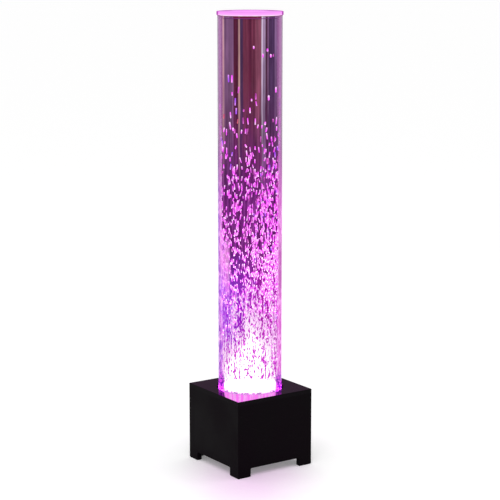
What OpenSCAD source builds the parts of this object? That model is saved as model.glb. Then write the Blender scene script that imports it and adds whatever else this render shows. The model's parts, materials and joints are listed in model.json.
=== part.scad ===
// Sensory hurricane tube: a clear tube of flying beads on a square base that holds a fan and lamps.
// Millimetres, +Z up, origin on the floor under the middle of the base. The front faces -Y.

/* [Tube] */
// Outer diameter of the clear tube
tube_od = 150; // [138:1:151]
// Wall of the clear tube
tube_wall = 3; // [2:0.5:4]
// Length of the clear tube
tube_len = 900; // [500:10:1400]
// How far the tube sinks below the top of the base
tube_sink = 25; // [20:1:34]

/* [Lid] */
// Thickness of the lid's disc
lid_t = 9; // [5:0.5:16]
// How far the lid stands out past the tube all round
lid_overhang = 1.8; // [1:0.1:6]
// Depth of the step that centres the lid in the tube
lid_step_h = 4; // [2:0.5:12]
// Bevel round the lid's edges
lid_bevel = 0.8; // [0.2:0.1:2]
// Thickness of the soft ring between lid and tube
gasket_t = 1; // [0.5:0.1:3]

/* [Base] */
// Width and depth of the base
base_w = 210; // [209:1:280]
// Height of the base with its feet
base_h = 185; // [182:1:240]
// Thickness of the four side panels
panel_t = 12; // [10:0.5:12.5]
// Thickness of the top panel
top_t = 10; // [9:0.5:14]
// Bevel on the outer edges of the base
edge_bevel = 0.6; // [0.2:0.1:1.2]
// Open ring between the tube and the top panel
tube_gap = 4.5; // [3:0.1:5]
// Width of each foot along a side
foot_w = 35; // [28:1:50]
// Height of the gap between the feet, from the floor
foot_gap_h = 21; // [12:0.5:24]
// Radius of the upper corners of that gap
foot_gap_r = 3; // [1:0.5:5]
// Thickness of the pads under the feet
pad_t = 1.5; // [1:0.1:4]
// Thickness of the removable bottom plate
bottom_t = 6; // [5:0.5:9]
// Side of the square blocks in the corners
block_w = 20; // [14:1:22]

/* [Tube socket] */
// Width of the flange under the top panel
flange_w = 12; // [10:0.5:12.5]
// Thickness of that flange
flange_t = 6; // [4:0.5:8]
// Thickness of the shelf that carries the lamps and the tube
shelf_t = 5; // [4:0.5:8]
// Height of the clear ring between lamps and tube
light_ring_h = 12; // [8:0.5:14]
// Thickness of the perforated disc that the beads fall on
screen_t = 3; // [2:0.5:5]
// How far the perforated disc's face stands above the base
screen_rise = 2; // [0:0.5:10]
// Wall of the ring that holds the disc up
riser_wall = 3; // [2:0.5:5]
// Rows of holes in the perforated disc
screen_rows = 7; // [3:1:8]
// Diameter of the holes in the perforated disc
screen_hole_d = 3; // [1.5:0.1:3.5]

/* [Lamps] */
// How many lamps stand on the ring board
lamp_count = 24; // [8:1:30]
// Side of one square lamp
lamp_w = 5; // [2:0.5:6]
// Height of one lamp
lamp_h = 1.6; // [0.8:0.1:2]
// Thickness of every circuit board
board_t = 1.6; // [1:0.1:2.4]

/* [Fan] */
// Side of the square fan frame
fan_w = 92; // [90:0.5:96]
// Depth of the fan frame
fan_h = 25.4; // [24:0.2:28]
// Distance between the fan's screw holes
fan_pitch = 82.5; // [81:0.5:83.5]
// Diameter of the air way through the fan
fan_bore = 88; // [84:0.5:89]
// Outer diameter of the rotor's hub
hub_d = 38; // [36:1:44]
// Number of fan blades
blade_count = 7; // [5:1:9]
// Pitch of the blades from flat, in degrees
blade_pitch = 32; // [20:1:36]
// Thickness of a blade
blade_t = 1.6; // [1:0.1:2.5]
// Height of the duct between fan and shelf
duct_h = 24; // [18:1:30]
// Wall of the duct
duct_wall = 2.5; // [1.5:0.5:3]
// Diameter of the rotor's shaft
shaft_d = 3; // [2:0.5:4]

/* [Rear controls] */
// Height of the controls above the floor
control_z = 70; // [58:1:80]
// Width of the rear pocket
pocket_w = 104; // [102:1:120]
// Height of the rear pocket
pocket_h = 36; // [33:1:44]
// Depth of the rear pocket
pocket_d = 7; // [6:0.5:8]
// Thickness of the plate that carries the controls
plate_t = 2; // [1.5:0.5:3]
// Distance from the rocker switch to the inlet and to the button
control_pitch = 32; // [28:1:33]
// Swing of the rocker from one side to the other, in degrees
rocker_swing = 18; // [8:1:20]
// Travel of the push button
button_travel = 1.6; // [0.5:0.1:2]

/* [Control board] */
// Width of the control board
board_w = 70; // [68:1:90]
// Depth of the control board
board_d = 50; // [48:1:54]
// Height of the posts under the control board
post_h = 8; // [5:0.5:12]
// Diameter of the inside cables
cable_d = 2.6; // [1.5:0.1:3]

/* [Beads] */
// Diameter of one bead
bead_d = 5; // [4:0.5:6]
// How many beads are in flight
bead_count = 260; // [50:10:320]
// Height left between the top of the beads' flight and the lid
bead_headroom = 30; // [5:5:200]

/* [Hidden] */
$fn = 96;
small_fn = 32;
screw_fn = 24;

// Clearances
slip_fit = 0.2;      // between pieces that slide together and stay put
moving_gap = 0.3;    // between pieces that move past each other
shaft_fit = 0.05;    // round a pin or shaft that turns
screw_play = 0.1;    // round a screw where it passes through
over = 1;            // how far a cutting tool runs past a face

// Radii of the screws' shanks
socket_screw_r = 1.5;
duct_screw_r = 1.25;
bottom_screw_r = 1.75;
board_screw_r = 1.25;
plate_screw_r = 1;
fan_screw_r = 2;

// Tube and lid
tube_r = tube_od / 2;
bore_r = tube_r - tube_wall;
tube_z = base_h - tube_sink;
tube_top = tube_z + tube_len;
lid_z = tube_top + gasket_t;
lid_r = tube_r + lid_overhang;
lid_step_z = tube_top - lid_step_h;

// Base
half_w = base_w / 2;
inner_w = half_w - panel_t;
top_z = base_h - top_t;
hole_r = tube_r + tube_gap;
foot_gap_w = base_w - 2 * foot_w;
bottom_lift = 4;                        // the bottom plate stays above the gaps between the feet
bottom_z = foot_gap_h + bottom_lift;
bottom_top = bottom_z + bottom_t;
bottom_half = inner_w - slip_fit;
bottom_screw_hold = 14;
block_mid = inner_w - block_w / 2;
pad_inset = 1.5;
vent_l = 72;
vent_w = 4;
vent_pitch = 9;
vent_rows = 9;
vent_y = 12;

// Tube socket, from the tube's end down
light_ring_z = tube_z - light_ring_h;
lamp_board_z = light_ring_z - board_t;
shelf_z = lamp_board_z - shelf_t;
collar_r = tube_r + slip_fit;
collar_wall = 4.8;
shelf_w = 17;
ring_w = 15;
shelf_in_r = tube_r - shelf_w;
ring_in_r = tube_r - ring_w;
flange_r = hole_r + flange_w;
flange_screw_at = hole_r + flange_w / 2 + 0.5;
socket_screw_hold = 7;
screen_top = base_h + screen_rise;
screen_z = screen_top - screen_t;
screen_margin = 8;
riser_r = bore_r - moving_gap;
lamp_at = bore_r - lamp_w / 2;
lamp_room = 1;

// Duct and fan, hung under the shelf
duct_z = shelf_z - duct_h;
duct_flange_t = 3;
duct_flange_w = 10;
duct_neck_z = shelf_z - duct_flange_t;
duct_screw_at = shelf_in_r + duct_flange_w / 2;
duct_screw_hold = shelf_t - 1;
fan_corner_r = 4;
fan_z = duct_z - fan_h;
fan_nut_t = 3.2;
blade_gap = 1.2;
blade_chord = 26;
rotor_r = fan_bore / 2 - blade_gap;
hub_r = hub_d / 2;
hub_wall = 2;
hub_lift = 1.5;
hub_head = 0.9;                         // between the hub's open end and the motor mount
mount_t = 3;
mount_z = fan_z + fan_h - mount_t;
hub_z = fan_z + hub_lift;
hub_h = mount_z - hub_head - hub_z;
strut_w = 4;
shaft_r = shaft_d / 2;
boss_h = 2;
bearing_wall = 2.5;
bearing_r = shaft_r + bearing_wall;
bearing_h = 3;
sleeve_wall = 1.2;
sleeve_r = bearing_r + sleeve_wall;
sleeve_z = hub_z + hub_wall + boss_h + 1;
magnet_r = hub_r - hub_wall;
magnet_wall = 2;
stator_r = magnet_r - magnet_wall - 1;
stator_z = sleeve_z + 3;
stator_h = 8;
tooth_w = 5;
shoe_t = 2;
core_r = sleeve_r + 2;
coil_t = 1.3;
coil_gap = 0.3;

// Control board
board_edge = 6;
board_z = bottom_top + post_h;
board_y = -(inner_w - board_edge - board_d / 2);
board_top = board_z + board_t;
post_r = 3;
post_inset = 4;
post_x = board_w / 2 - post_inset;
post_y = board_d / 2 - post_inset;
board_screw_hold = 3;
socket_w = 9;
socket_d = 6;
socket_h = 7;
socket_inset = 5;
socket_y = board_y + board_d / 2 - socket_inset;
socket_pitch = 12;
chip_size = [12, 12, 1.6];
chip_at = [-5, -12];             // from the board's middle
driver_size = [6, 5, 9];
driver_x = [-26, -18, 14];
driver_y = 3;
// Each capacitor's place from the board's middle, its radius and its height
capacitor_list = [[-18, -12, 4, 12], [16, -10, 5, 13], [26, -2, 3.2, 9]];

// Rear controls: the plate's outer face is where the controls sit
seat_y = half_w - pocket_d;
face_y = seat_y + plate_t;
window_ledge = 9;
window_w = pocket_w - 2 * window_ledge;
window_h = pocket_h - window_ledge;
plate_screw_inset = 7;
plate_screw_skin = 1;             // wood left behind the screw's tip
plate_screw_x = pocket_w / 2 - window_ledge / 2;
plate_screw_z = pocket_h / 2 - plate_screw_inset;
plate_screw_hold = panel_t - pocket_d - plate_screw_skin;
nut_t = 2.5;
nut_wall = 2.6;
rocker_w = 20;
rocker_h = 13.4;
rocker_depth = 14;
bezel_t = 1.8;
bezel_lip = 1.5;
cave_w = 18.8;
cave_h = 11.4;
cave_d = 8;
rocker_half = 8;
pivot_depth = 2;
pivot_y = face_y - pivot_depth;
pin_r = 1;
pin_l = cave_h + 1.2;
tab_l = 6;
tab_w = 4.8;
tab_t = 0.8;
inlet_r = 5.5;
inlet_lip = 1.5;
inlet_face = 2;
inlet_bore_r = 3;
inlet_bore_d = 9;
inlet_pin_r = 1.05;
inlet_pin_seat = 2;
inlet_depth = 16;
button_r = 6;
button_lip = 2;
button_face = 1.5;
button_depth = 12;
plunger_r = 4;
plunger_out = 3.4;
plunger_in = 5;
plunger_pocket = 3;
spring_r = 2;
spring_wire = 0.5;
spring_turns = 4;
button_floor = plunger_in + button_travel + moving_gap;

// Routes of the inside cables, from each piece to its socket on the control board. They leave
// both ends straight.
straight = 7;
inlet_route = [behind(-control_pitch, inlet_depth), behind(-control_pitch, inlet_depth + straight),
    [-36, 60, 65], [-42, 30, 59], [-42, 4, 57], [-33, -26, 57], above_socket(-2), at_socket(-2)];
switch_route = [behind(0, rocker_depth + tab_l), behind(0, rocker_depth + tab_l + straight),
    [-6, 40, 61], [-12, 4, 57], [-13, -24, 57], above_socket(-1), at_socket(-1)];
button_route = [behind(control_pitch, button_depth), behind(control_pitch, button_depth + straight),
    [34, 50, 63], [28, 24, 58], [14, 0, 57], [3, -24, 57], above_socket(0), at_socket(0)];
fan_route = [[fan_w / 2, -18, fan_z + 6], [fan_w / 2 + straight, -18, fan_z + 6],
    [58, -25, 84], [50, -34, 68], [28, -38, 60], above_socket(1), at_socket(1)];
lamp_turn = -60;
lamp_lead_at = tube_r - 3;
lamp_lead_x = lamp_lead_at * cos(lamp_turn);
lamp_lead_y = lamp_lead_at * sin(lamp_turn);
lamp_route = [[lamp_lead_x, lamp_lead_y, lamp_board_z],
    [lamp_lead_x, lamp_lead_y, shelf_z - 6], [40, -66, 112], [42, -62, 84],
    [36, -50, 62], above_socket(2), at_socket(2)];

function behind(x, depth) = [x, face_y - depth, control_z];
function at_socket(k) = [k * socket_pitch, socket_y, board_top + socket_h];
function above_socket(k) = at_socket(k) + [0, 0, straight];

// Shared shapes

// A rectangle with round corners, centred
module round_rect(w, h, r) {
    square([w - 2 * r, h], center = true);
    square([w, h - 2 * r], center = true);
    for (x = [-1, 1], y = [-1, 1])
        translate([x * (w / 2 - r), y * (h / 2 - r)]) circle(r, $fn = small_fn);
}

module ring(outer, inner, h) {
    difference() {
        cylinder(r = outer, h = h);
        translate([0, 0, -over]) cylinder(r = inner, h = h + 2 * over);
    }
}

// Copies at the four corners of a rectangle
module at_corners(x, y) {
    for (i = [-1, 1], j = [-1, 1])
        translate([i * x, j * y, 0]) children();
}

// Copies round the tube's axis
module around(count, r, start = 0) {
    for (k = [0 : count - 1])
        rotate([0, 0, start + k * 360 / count]) translate([r, 0, 0]) children();
}

// A hole for a screw, from just below z = 0 up
module drill(r, h) {
    translate([0, 0, -over]) cylinder(r = r, h = h + over, $fn = screw_fn);
}

// A pan-head screw with a cross slot: its head hangs below z = 0 and its shank stands up
module screw(shank_r, shank_l) {
    head_r = 1.9 * shank_r;
    head_h = 1.2 * shank_r;
    slot_l = 2.2 * shank_r;
    slot_w = 0.5 * shank_r;
    difference() {
        translate([0, 0, -head_h]) cylinder(r = head_r, h = head_h, $fn = screw_fn);
        for (a = [0, 90])
            rotate([0, 0, a]) translate([0, 0, -head_h])
                cube([slot_l, slot_w, head_h], center = true);
    }
    cylinder(r = shank_r, h = shank_l, $fn = screw_fn);
}

// Stands a shape on the rear plate at x, its +Z pointing out of the back
module on_rear(x) {
    translate([x, face_y, control_z]) rotate([-90, 0, 0]) children();
}

// A smooth curve through the points of a route, a few steps for each stretch
function spline(a, b, c, d, t) = 0.5 * ((2 * b) + (c - a) * t
    + (2 * a - 5 * b + 4 * c - d) * t * t + (3 * b - a - 3 * c + d) * t * t * t);
function smooth(p, steps) = [
    for (i = [0 : len(p) - 2], s = [0 : steps - 1])
        spline(p[max(i - 1, 0)], p[i], p[i + 1], p[min(i + 2, len(p) - 1)], s / steps),
    p[len(p) - 1]];

// A round tube swept along points. The end rings are square to the given headings, and each
// ring's first side is carried on from the ring before it.
function unit(v) = v / norm(v);
function headings(p, first, last) = [for (i = [0 : len(p) - 1])
    i == 0 ? first : i == len(p) - 1 ? last : unit(p[i + 1] - p[i - 1])];
function carried(v, t) = unit(v - (v * t) * t);
function first_side(t) = carried(abs(t[2]) > 0.9 ? [1, 0, 0] : [0, 0, 1], t);
function ring_sides(t) = [
    for (i = 0, v = first_side(t[0]); i < len(t);
        i = i + 1, v = i < len(t) ? carried(v, t[i]) : v) v];

module swept(p, r, n, from, to) {
    t = headings(p, from, to);
    v = ring_sides(t);
    last = len(p) - 1;
    points = [for (i = [0 : last]) let (w = cross(t[i], v[i]))
        for (k = [0 : n - 1]) p[i] + r * (cos(360 * k / n) * v[i] + sin(360 * k / n) * w)];
    walls = [for (i = [0 : last - 1], k = [0 : n - 1]) let (m = (k + 1) % n)
        each [[i * n + k, (i + 1) * n + k, (i + 1) * n + m],
            [i * n + k, (i + 1) * n + m, i * n + m]]];
    ends = [for (k = [1 : n - 2])
        each [[0, k, k + 1], [last * n, last * n + k + 1, last * n + k]]];
    polyhedron(points, concat(walls, ends));
}

// Tube, lid and beads

module tube() {
    color([0.72, 0.50, 0.72, 0.4]) translate([0, 0, tube_z]) ring(tube_r, bore_r, tube_len);
}

module lid() {
    color([1.0, 0.58, 1.0]) rotate_extrude() polygon([
        [0, lid_step_z], [bore_r - moving_gap, lid_step_z], [bore_r - moving_gap, lid_z],
        [lid_r - lid_bevel, lid_z], [lid_r, lid_z + lid_bevel],
        [lid_r, lid_z + lid_t - lid_bevel], [lid_r - lid_bevel, lid_z + lid_t],
        [0, lid_z + lid_t]]);
}

module lid_gasket() {
    color([0.45, 0.10, 0.20]) translate([0, 0, tube_top]) ring(tube_r, bore_r, gasket_t);
}

// Beads lie in an even spread that never repeats, thinned out with height
bead_steps = [0.8191725, 0.6710436, 0.5497005];
bead_crowding = 2.2;
bead_wall_gap = 1.5;
bead_from = screen_top + bead_d / 2 + moving_gap;
bead_reach = lid_step_z - bead_headroom - bead_d / 2 - bead_from;
bead_spread = bore_r - bead_d / 2 - bead_wall_gap;
function spread(i, axis) = let (x = (i + 0.5) * bead_steps[axis]) x - floor(x);
module beads() {
    color([1.0, 0.80, 1.0])
        for (i = [0 : bead_count - 1])
            rotate([0, 0, 360 * spread(i, 0)])
                translate([bead_spread * sqrt(spread(i, 1)), 0,
                    bead_from + bead_reach * (1 - pow(1 - spread(i, 2), 1 / bead_crowding))])
                    sphere(d = bead_d, $fn = 20);
}

// Perforated disc, riser, lamps and socket

module bead_screen() {
    row_pitch = (riser_r - screen_margin) / screen_rows;
    color([1.0, 0.92, 1.0]) translate([0, 0, screen_z])
        linear_extrude(screen_t) difference() {
            circle(riser_r);
            circle(d = screen_hole_d, $fn = 16);
            for (row = [1 : screen_rows], k = [0 : 6 * row - 1])
                rotate(k * 60 / row) translate([row * row_pitch, 0])
                    circle(d = screen_hole_d, $fn = 16);
        }
}

module screen_riser() {
    color([0.93, 0.93, 0.95]) translate([0, 0, tube_z])
        ring(riser_r, riser_r - riser_wall, screen_z - tube_z);
}

// The ring has a channel below that clears the lamps
module light_ring() {
    color([1.0, 0.90, 1.0, 0.6]) translate([0, 0, light_ring_z]) difference() {
        ring(tube_r, ring_in_r, light_ring_h);
        translate([0, 0, -over])
            ring(lamp_at + lamp_w / 2 + lamp_room, lamp_at - lamp_w / 2 - lamp_room,
                lamp_h + lamp_room + over);
    }
}

module lamp_board() {
    color([0.92, 0.93, 0.92]) translate([0, 0, lamp_board_z]) ring(tube_r, ring_in_r, board_t);
}

module lamps() {
    color([1.0, 0.95, 1.0]) translate([0, 0, light_ring_z])
        around(lamp_count, lamp_at) translate([-lamp_w / 2, -lamp_w / 2, 0])
            cube([lamp_w, lamp_w, lamp_h]);
}

module tube_socket() {
    color([0.10, 0.10, 0.11]) difference() {
        rotate_extrude() polygon([
            [shelf_in_r, shelf_z], [collar_r + collar_wall, shelf_z],
            [collar_r + collar_wall, top_z - flange_t], [flange_r, top_z - flange_t],
            [flange_r, top_z], [collar_r, top_z],
            [collar_r, lamp_board_z], [shelf_in_r, lamp_board_z]]);
        translate([0, 0, top_z - flange_t]) around(4, flange_screw_at, 45)
            drill(socket_screw_r + screw_play, flange_t + over);
        translate([0, 0, shelf_z]) around(4, duct_screw_at, 45)
            drill(duct_screw_r, duct_screw_hold);
        translate([lamp_lead_x, lamp_lead_y, shelf_z]) drill(cable_d / 2 + 0.5, shelf_t + over);
    }
}

module socket_screws() {
    color([0.75, 0.75, 0.78]) translate([0, 0, top_z - flange_t])
        around(4, flange_screw_at, 45) screw(socket_screw_r, flange_t + socket_screw_hold);
}

// Base

module top_panel() {
    color([0.09, 0.07, 0.09]) difference() {
        translate([0, 0, top_z]) linear_extrude(top_t) difference() {
            square(base_w, center = true);
            circle(hole_r);
            for (a = [0 : 90 : 270])
                rotate(a) translate([half_w, half_w]) rotate(45)
                    square(edge_bevel * sqrt(2), center = true);
        }
        for (a = [0 : 90 : 270])
            rotate([0, 0, a]) translate([half_w, 0, base_h]) rotate([0, 45, 0])
                cube([edge_bevel * sqrt(2), base_w + 2 * over, edge_bevel * sqrt(2)],
                    center = true);
        translate([0, 0, top_z]) around(4, flange_screw_at, 45)
            drill(socket_screw_r, socket_screw_hold);
    }
}

// The gap between two feet, seen from the front
module foot_gap_shape() {
    round_x = foot_gap_w / 2 - foot_gap_r;
    round_z = foot_gap_h - foot_gap_r;
    translate([-foot_gap_w / 2, -over]) square([foot_gap_w, round_z + over]);
    translate([-round_x, -over]) square([2 * round_x, foot_gap_h + over]);
    for (x = [-1, 1])
        translate([x * round_x, round_z]) circle(foot_gap_r, $fn = small_fn);
}

// One side panel with mitred ends, as the front one stands
module side_panel() {
    difference() {
        translate([0, 0, pad_t]) linear_extrude(top_z - pad_t) polygon([
            [-half_w + edge_bevel, -half_w], [half_w - edge_bevel, -half_w],
            [half_w - edge_bevel / 2, -half_w + edge_bevel / 2], [inner_w, -inner_w],
            [-inner_w, -inner_w], [-half_w + edge_bevel / 2, -half_w + edge_bevel / 2]]);
        translate([0, -inner_w + over, 0]) rotate([90, 0, 0])
            linear_extrude(panel_t + 2 * over) foot_gap_shape();
    }
}

module front_panel() {
    color([0.06, 0.055, 0.06]) side_panel();
}

module right_panel() {
    color([0.06, 0.055, 0.06]) rotate([0, 0, 90]) side_panel();
}

module left_panel() {
    color([0.06, 0.055, 0.06]) rotate([0, 0, -90]) side_panel();
}

// The back panel has a pocket outside and a window in the pocket's floor
module back_panel() {
    color([0.06, 0.055, 0.06]) difference() {
        rotate([0, 0, 180]) side_panel();
        translate([-pocket_w / 2, seat_y, control_z - pocket_h / 2])
            cube([pocket_w, pocket_d + over, pocket_h]);
        translate([-window_w / 2, inner_w - over, control_z - window_h / 2])
            cube([window_w, panel_t + over, window_h]);
        translate([0, seat_y, control_z]) rotate([90, 0, 0])
            at_corners(plate_screw_x, plate_screw_z) drill(plate_screw_r, plate_screw_hold);
    }
}

module corner_blocks() {
    color([0.72, 0.58, 0.40]) translate([0, 0, bottom_top]) at_corners(block_mid, block_mid)
        difference() {
            translate([-block_w / 2, -block_w / 2, 0])
                cube([block_w, block_w, top_z - bottom_top]);
            drill(bottom_screw_r, bottom_screw_hold);
        }
}

module vent_slot() {
    square([vent_l - vent_w, vent_w], center = true);
    for (x = [-1, 1])
        translate([x * (vent_l - vent_w) / 2, 0]) circle(d = vent_w, $fn = small_fn);
}

module bottom_plate() {
    color([0.12, 0.12, 0.12]) difference() {
        translate([0, 0, bottom_z]) linear_extrude(bottom_t) difference() {
            square(2 * bottom_half, center = true);
            for (k = [0 : vent_rows - 1])
                translate([0, vent_y + (k - (vent_rows - 1) / 2) * vent_pitch]) vent_slot();
            at_corners(block_mid, block_mid)
                circle(r = bottom_screw_r + screw_play, $fn = screw_fn);
        }
        translate([0, board_y, bottom_top - board_screw_hold]) at_corners(post_x, post_y)
            cylinder(r = board_screw_r, h = board_screw_hold + over, $fn = screw_fn);
    }
}

module bottom_screws() {
    color([0.75, 0.75, 0.78]) translate([0, 0, bottom_z]) at_corners(block_mid, block_mid)
        screw(bottom_screw_r, bottom_t + bottom_screw_hold);
}

// An L-shaped pad under one foot, turned to its corner
module foot_pad(turn) {
    leg_l = foot_w - 2 * pad_inset;
    leg_w = panel_t - 2 * pad_inset;
    color([0.16, 0.16, 0.17]) rotate([0, 0, turn])
        translate([-half_w + pad_inset, -half_w + pad_inset, 0]) linear_extrude(pad_t) {
            square([leg_l, leg_w]);
            square([leg_w, leg_l]);
        }
}

// Duct and fan

module air_duct() {
    wide_z = duct_z + duct_flange_t;
    color([0.14, 0.14, 0.15]) difference() {
        union() {
            rotate_extrude() polygon([
                [fan_bore / 2, duct_z], [fan_bore / 2 + duct_wall, duct_z],
                [fan_bore / 2 + duct_wall, wide_z], [shelf_in_r + duct_wall, duct_neck_z],
                [shelf_in_r + duct_flange_w, duct_neck_z], [shelf_in_r + duct_flange_w, shelf_z],
                [shelf_in_r, shelf_z], [shelf_in_r, duct_neck_z], [fan_bore / 2, wide_z]]);
            translate([0, 0, duct_z]) linear_extrude(duct_flange_t) difference() {
                round_rect(fan_w, fan_w, fan_corner_r);
                circle(fan_bore / 2 + duct_wall / 2);
            }
        }
        translate([0, 0, duct_z]) at_corners(fan_pitch / 2, fan_pitch / 2)
            drill(fan_screw_r + screw_play, duct_flange_t + over);
        translate([0, 0, duct_neck_z]) around(4, duct_screw_at, 45)
            drill(duct_screw_r + screw_play, duct_flange_t + over);
    }
}

module duct_screws() {
    color([0.75, 0.75, 0.78]) translate([0, 0, duct_neck_z]) around(4, duct_screw_at, 45)
        screw(duct_screw_r, duct_flange_t + duct_screw_hold);
}

module fan_frame() {
    color([0.13, 0.13, 0.14]) {
        translate([0, 0, fan_z]) linear_extrude(fan_h) difference() {
            round_rect(fan_w, fan_w, fan_corner_r);
            circle(d = fan_bore);
            at_corners(fan_pitch / 2, fan_pitch / 2)
                circle(r = fan_screw_r + screw_play, $fn = screw_fn);
        }
        translate([0, 0, mount_z]) cylinder(r = hub_r, h = mount_t);
        for (a = [20 : 90 : 290])
            rotate([0, 0, a]) translate([hub_r - over, -strut_w / 2, mount_z])
                cube([fan_bore / 2 - hub_r + 2 * over, strut_w, mount_t]);
        translate([0, 0, sleeve_z]) ring(sleeve_r, bearing_r, mount_z - sleeve_z);
    }
}

// A blade is a tilted slab, trimmed to the ring between hub and frame
module fan_blades() {
    blade_z = hub_z + 1;
    sweep_h = hub_h - 3;
    intersection() {
        translate([0, 0, blade_z]) ring(rotor_r, hub_r - 0.5, sweep_h);
        around(blade_count, (rotor_r + hub_r) / 2) translate([0, 0, blade_z + sweep_h / 2])
            rotate([blade_pitch, 0, 0]) cube([rotor_r, blade_chord, blade_t], center = true);
    }
}

module fan_rotor() {
    color([0.16, 0.16, 0.17]) {
        difference() {
            translate([0, 0, hub_z]) cylinder(r = hub_r, h = hub_h);
            translate([0, 0, hub_z + hub_wall]) cylinder(r = magnet_r, h = hub_h);
        }
        translate([0, 0, hub_z + hub_wall]) ring(shaft_r + 1.5, shaft_r, boss_h);
        fan_blades();
    }
}

module fan_shaft() {
    color([0.80, 0.80, 0.82]) translate([0, 0, hub_z + hub_wall])
        cylinder(r = shaft_r, h = mount_z - hub_z - hub_wall - moving_gap, $fn = 48);
}

module fan_magnet() {
    color([0.25, 0.25, 0.27]) translate([0, 0, hub_z + hub_wall])
        ring(magnet_r, magnet_r - magnet_wall, hub_h - hub_wall - 2);
}

module tooth_bars(w, from, to, h) {
    for (a = [0 : 90 : 270])
        rotate([0, 0, a]) translate([from, -w / 2, -h / 2]) cube([to - from, w, h]);
}

module fan_stator() {
    color([0.50, 0.50, 0.53]) translate([0, 0, stator_z]) difference() {
        union() {
            cylinder(r = core_r, h = stator_h);
            translate([0, 0, stator_h / 2])
                tooth_bars(tooth_w, sleeve_r, stator_r - shoe_t / 2, stator_h);
            intersection() {
                ring(stator_r, stator_r - shoe_t, stator_h);
                translate([0, 0, stator_h / 2])
                    tooth_bars(stator_r, sleeve_r, stator_r + over, stator_h + over);
            }
        }
        translate([0, 0, -over]) cylinder(r = sleeve_r, h = stator_h + 2 * over);
    }
}

module fan_coils() {
    coil_from = core_r + coil_gap;
    coil_to = sqrt(pow(stator_r - shoe_t, 2) - pow(tooth_w / 2 + coil_t, 2)) - coil_gap;
    color([0.72, 0.40, 0.20]) translate([0, 0, stator_z + stator_h / 2]) difference() {
        tooth_bars(tooth_w + 2 * coil_t, coil_from, coil_to, stator_h + 2 * coil_t);
        tooth_bars(tooth_w, sleeve_r, stator_r, stator_h);
    }
}

module fan_bearings() {
    color([0.70, 0.72, 0.75]) for (z = [sleeve_z, mount_z - bearing_h])
        translate([0, 0, z]) ring(bearing_r, shaft_r + shaft_fit, bearing_h);
}

module fan_screws() {
    color([0.75, 0.75, 0.78]) translate([0, 0, fan_z]) at_corners(fan_pitch / 2, fan_pitch / 2)
        screw(fan_screw_r, fan_h + duct_flange_t + fan_nut_t + 1);
}

module fan_nuts() {
    color([0.75, 0.75, 0.78]) translate([0, 0, duct_z + duct_flange_t])
        at_corners(fan_pitch / 2, fan_pitch / 2) difference() {
            cylinder(r = 1.95 * fan_screw_r, h = fan_nut_t, $fn = 6);
            drill(fan_screw_r, fan_nut_t + over);
        }
}

// Control board

module control_board() {
    color([0.05, 0.30, 0.16]) translate([0, board_y, board_z]) linear_extrude(board_t)
        difference() {
            square([board_w, board_d], center = true);
            at_corners(post_x, post_y) circle(r = board_screw_r + screw_play, $fn = screw_fn);
        }
}

module board_posts() {
    color([0.85, 0.85, 0.80]) translate([0, board_y, bottom_top])
        at_corners(post_x, post_y) ring(post_r, board_screw_r + screw_play, post_h);
}

module board_screws() {
    color([0.75, 0.75, 0.78]) translate([0, board_y, board_top]) at_corners(post_x, post_y)
        mirror([0, 0, 1]) screw(board_screw_r, board_t + post_h + board_screw_hold);
}

// One flat chip and three power parts that stand beside the sockets
module control_chips() {
    color([0.08, 0.08, 0.09]) translate([0, board_y, board_top]) {
        translate(chip_at) cube(chip_size);
        for (x = driver_x)
            translate([x, driver_y, 0]) cube(driver_size);
    }
}

module capacitors() {
    color([0.20, 0.22, 0.35]) translate([0, board_y, board_top]) for (c = capacitor_list)
        translate([c[0], c[1], 0]) cylinder(r = c[2], h = c[3]);
}

module board_sockets() {
    color([0.92, 0.90, 0.84]) for (k = [-2 : 2])
        translate([k * socket_pitch - socket_w / 2, socket_y - socket_d / 2, board_top])
            cube([socket_w, socket_d, socket_h]);
}

// Rear controls

module control_plate() {
    color([0.10, 0.10, 0.11]) translate([0, face_y, control_z]) rotate([90, 0, 0])
        linear_extrude(plate_t) difference() {
            round_rect(pocket_w - 2 * slip_fit, pocket_h - 2 * slip_fit, 1);
            square([rocker_w, rocker_h], center = true);
            translate([-control_pitch, 0]) circle(inlet_r);
            translate([control_pitch, 0]) circle(button_r);
            at_corners(plate_screw_x, plate_screw_z)
                circle(r = plate_screw_r + screw_play, $fn = screw_fn);
        }
}

module plate_screws() {
    color([0.20, 0.20, 0.21]) translate([0, face_y, control_z]) rotate([90, 0, 0])
        at_corners(plate_screw_x, plate_screw_z)
            screw(plate_screw_r, plate_t + plate_screw_hold);
}

// The inlet's mouth, with room round its pin
module power_inlet() {
    color([0.08, 0.08, 0.09]) on_rear(-control_pitch) difference() {
        union() {
            cylinder(r = inlet_r + inlet_lip, h = inlet_face);
            translate([0, 0, -inlet_depth]) cylinder(r = inlet_r, h = inlet_depth);
        }
        translate([0, 0, -inlet_bore_d])
            cylinder(r = inlet_bore_r, h = inlet_bore_d + inlet_face + over);
        translate([0, 0, -inlet_bore_d - inlet_pin_seat])
            cylinder(r = inlet_pin_r, h = inlet_pin_seat + over);
    }
}

module inlet_pin() {
    color([0.85, 0.80, 0.60]) on_rear(-control_pitch)
        translate([0, 0, -inlet_bore_d - inlet_pin_seat])
            cylinder(r = inlet_pin_r, h = inlet_bore_d + inlet_pin_seat);
}

// A six-sided nut on the inside of the rear plate
module panel_nut(x, r) {
    on_rear(x) translate([0, 0, -plate_t - nut_t]) difference() {
        cylinder(r = r + nut_wall, h = nut_t, $fn = 6);
        translate([0, 0, -over]) cylinder(r = r, h = nut_t + 2 * over);
    }
}

module inlet_nut() {
    color([0.75, 0.75, 0.78]) panel_nut(-control_pitch, inlet_r);
}

module button_nut() {
    color([0.75, 0.75, 0.78]) panel_nut(control_pitch, button_r);
}

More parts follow.
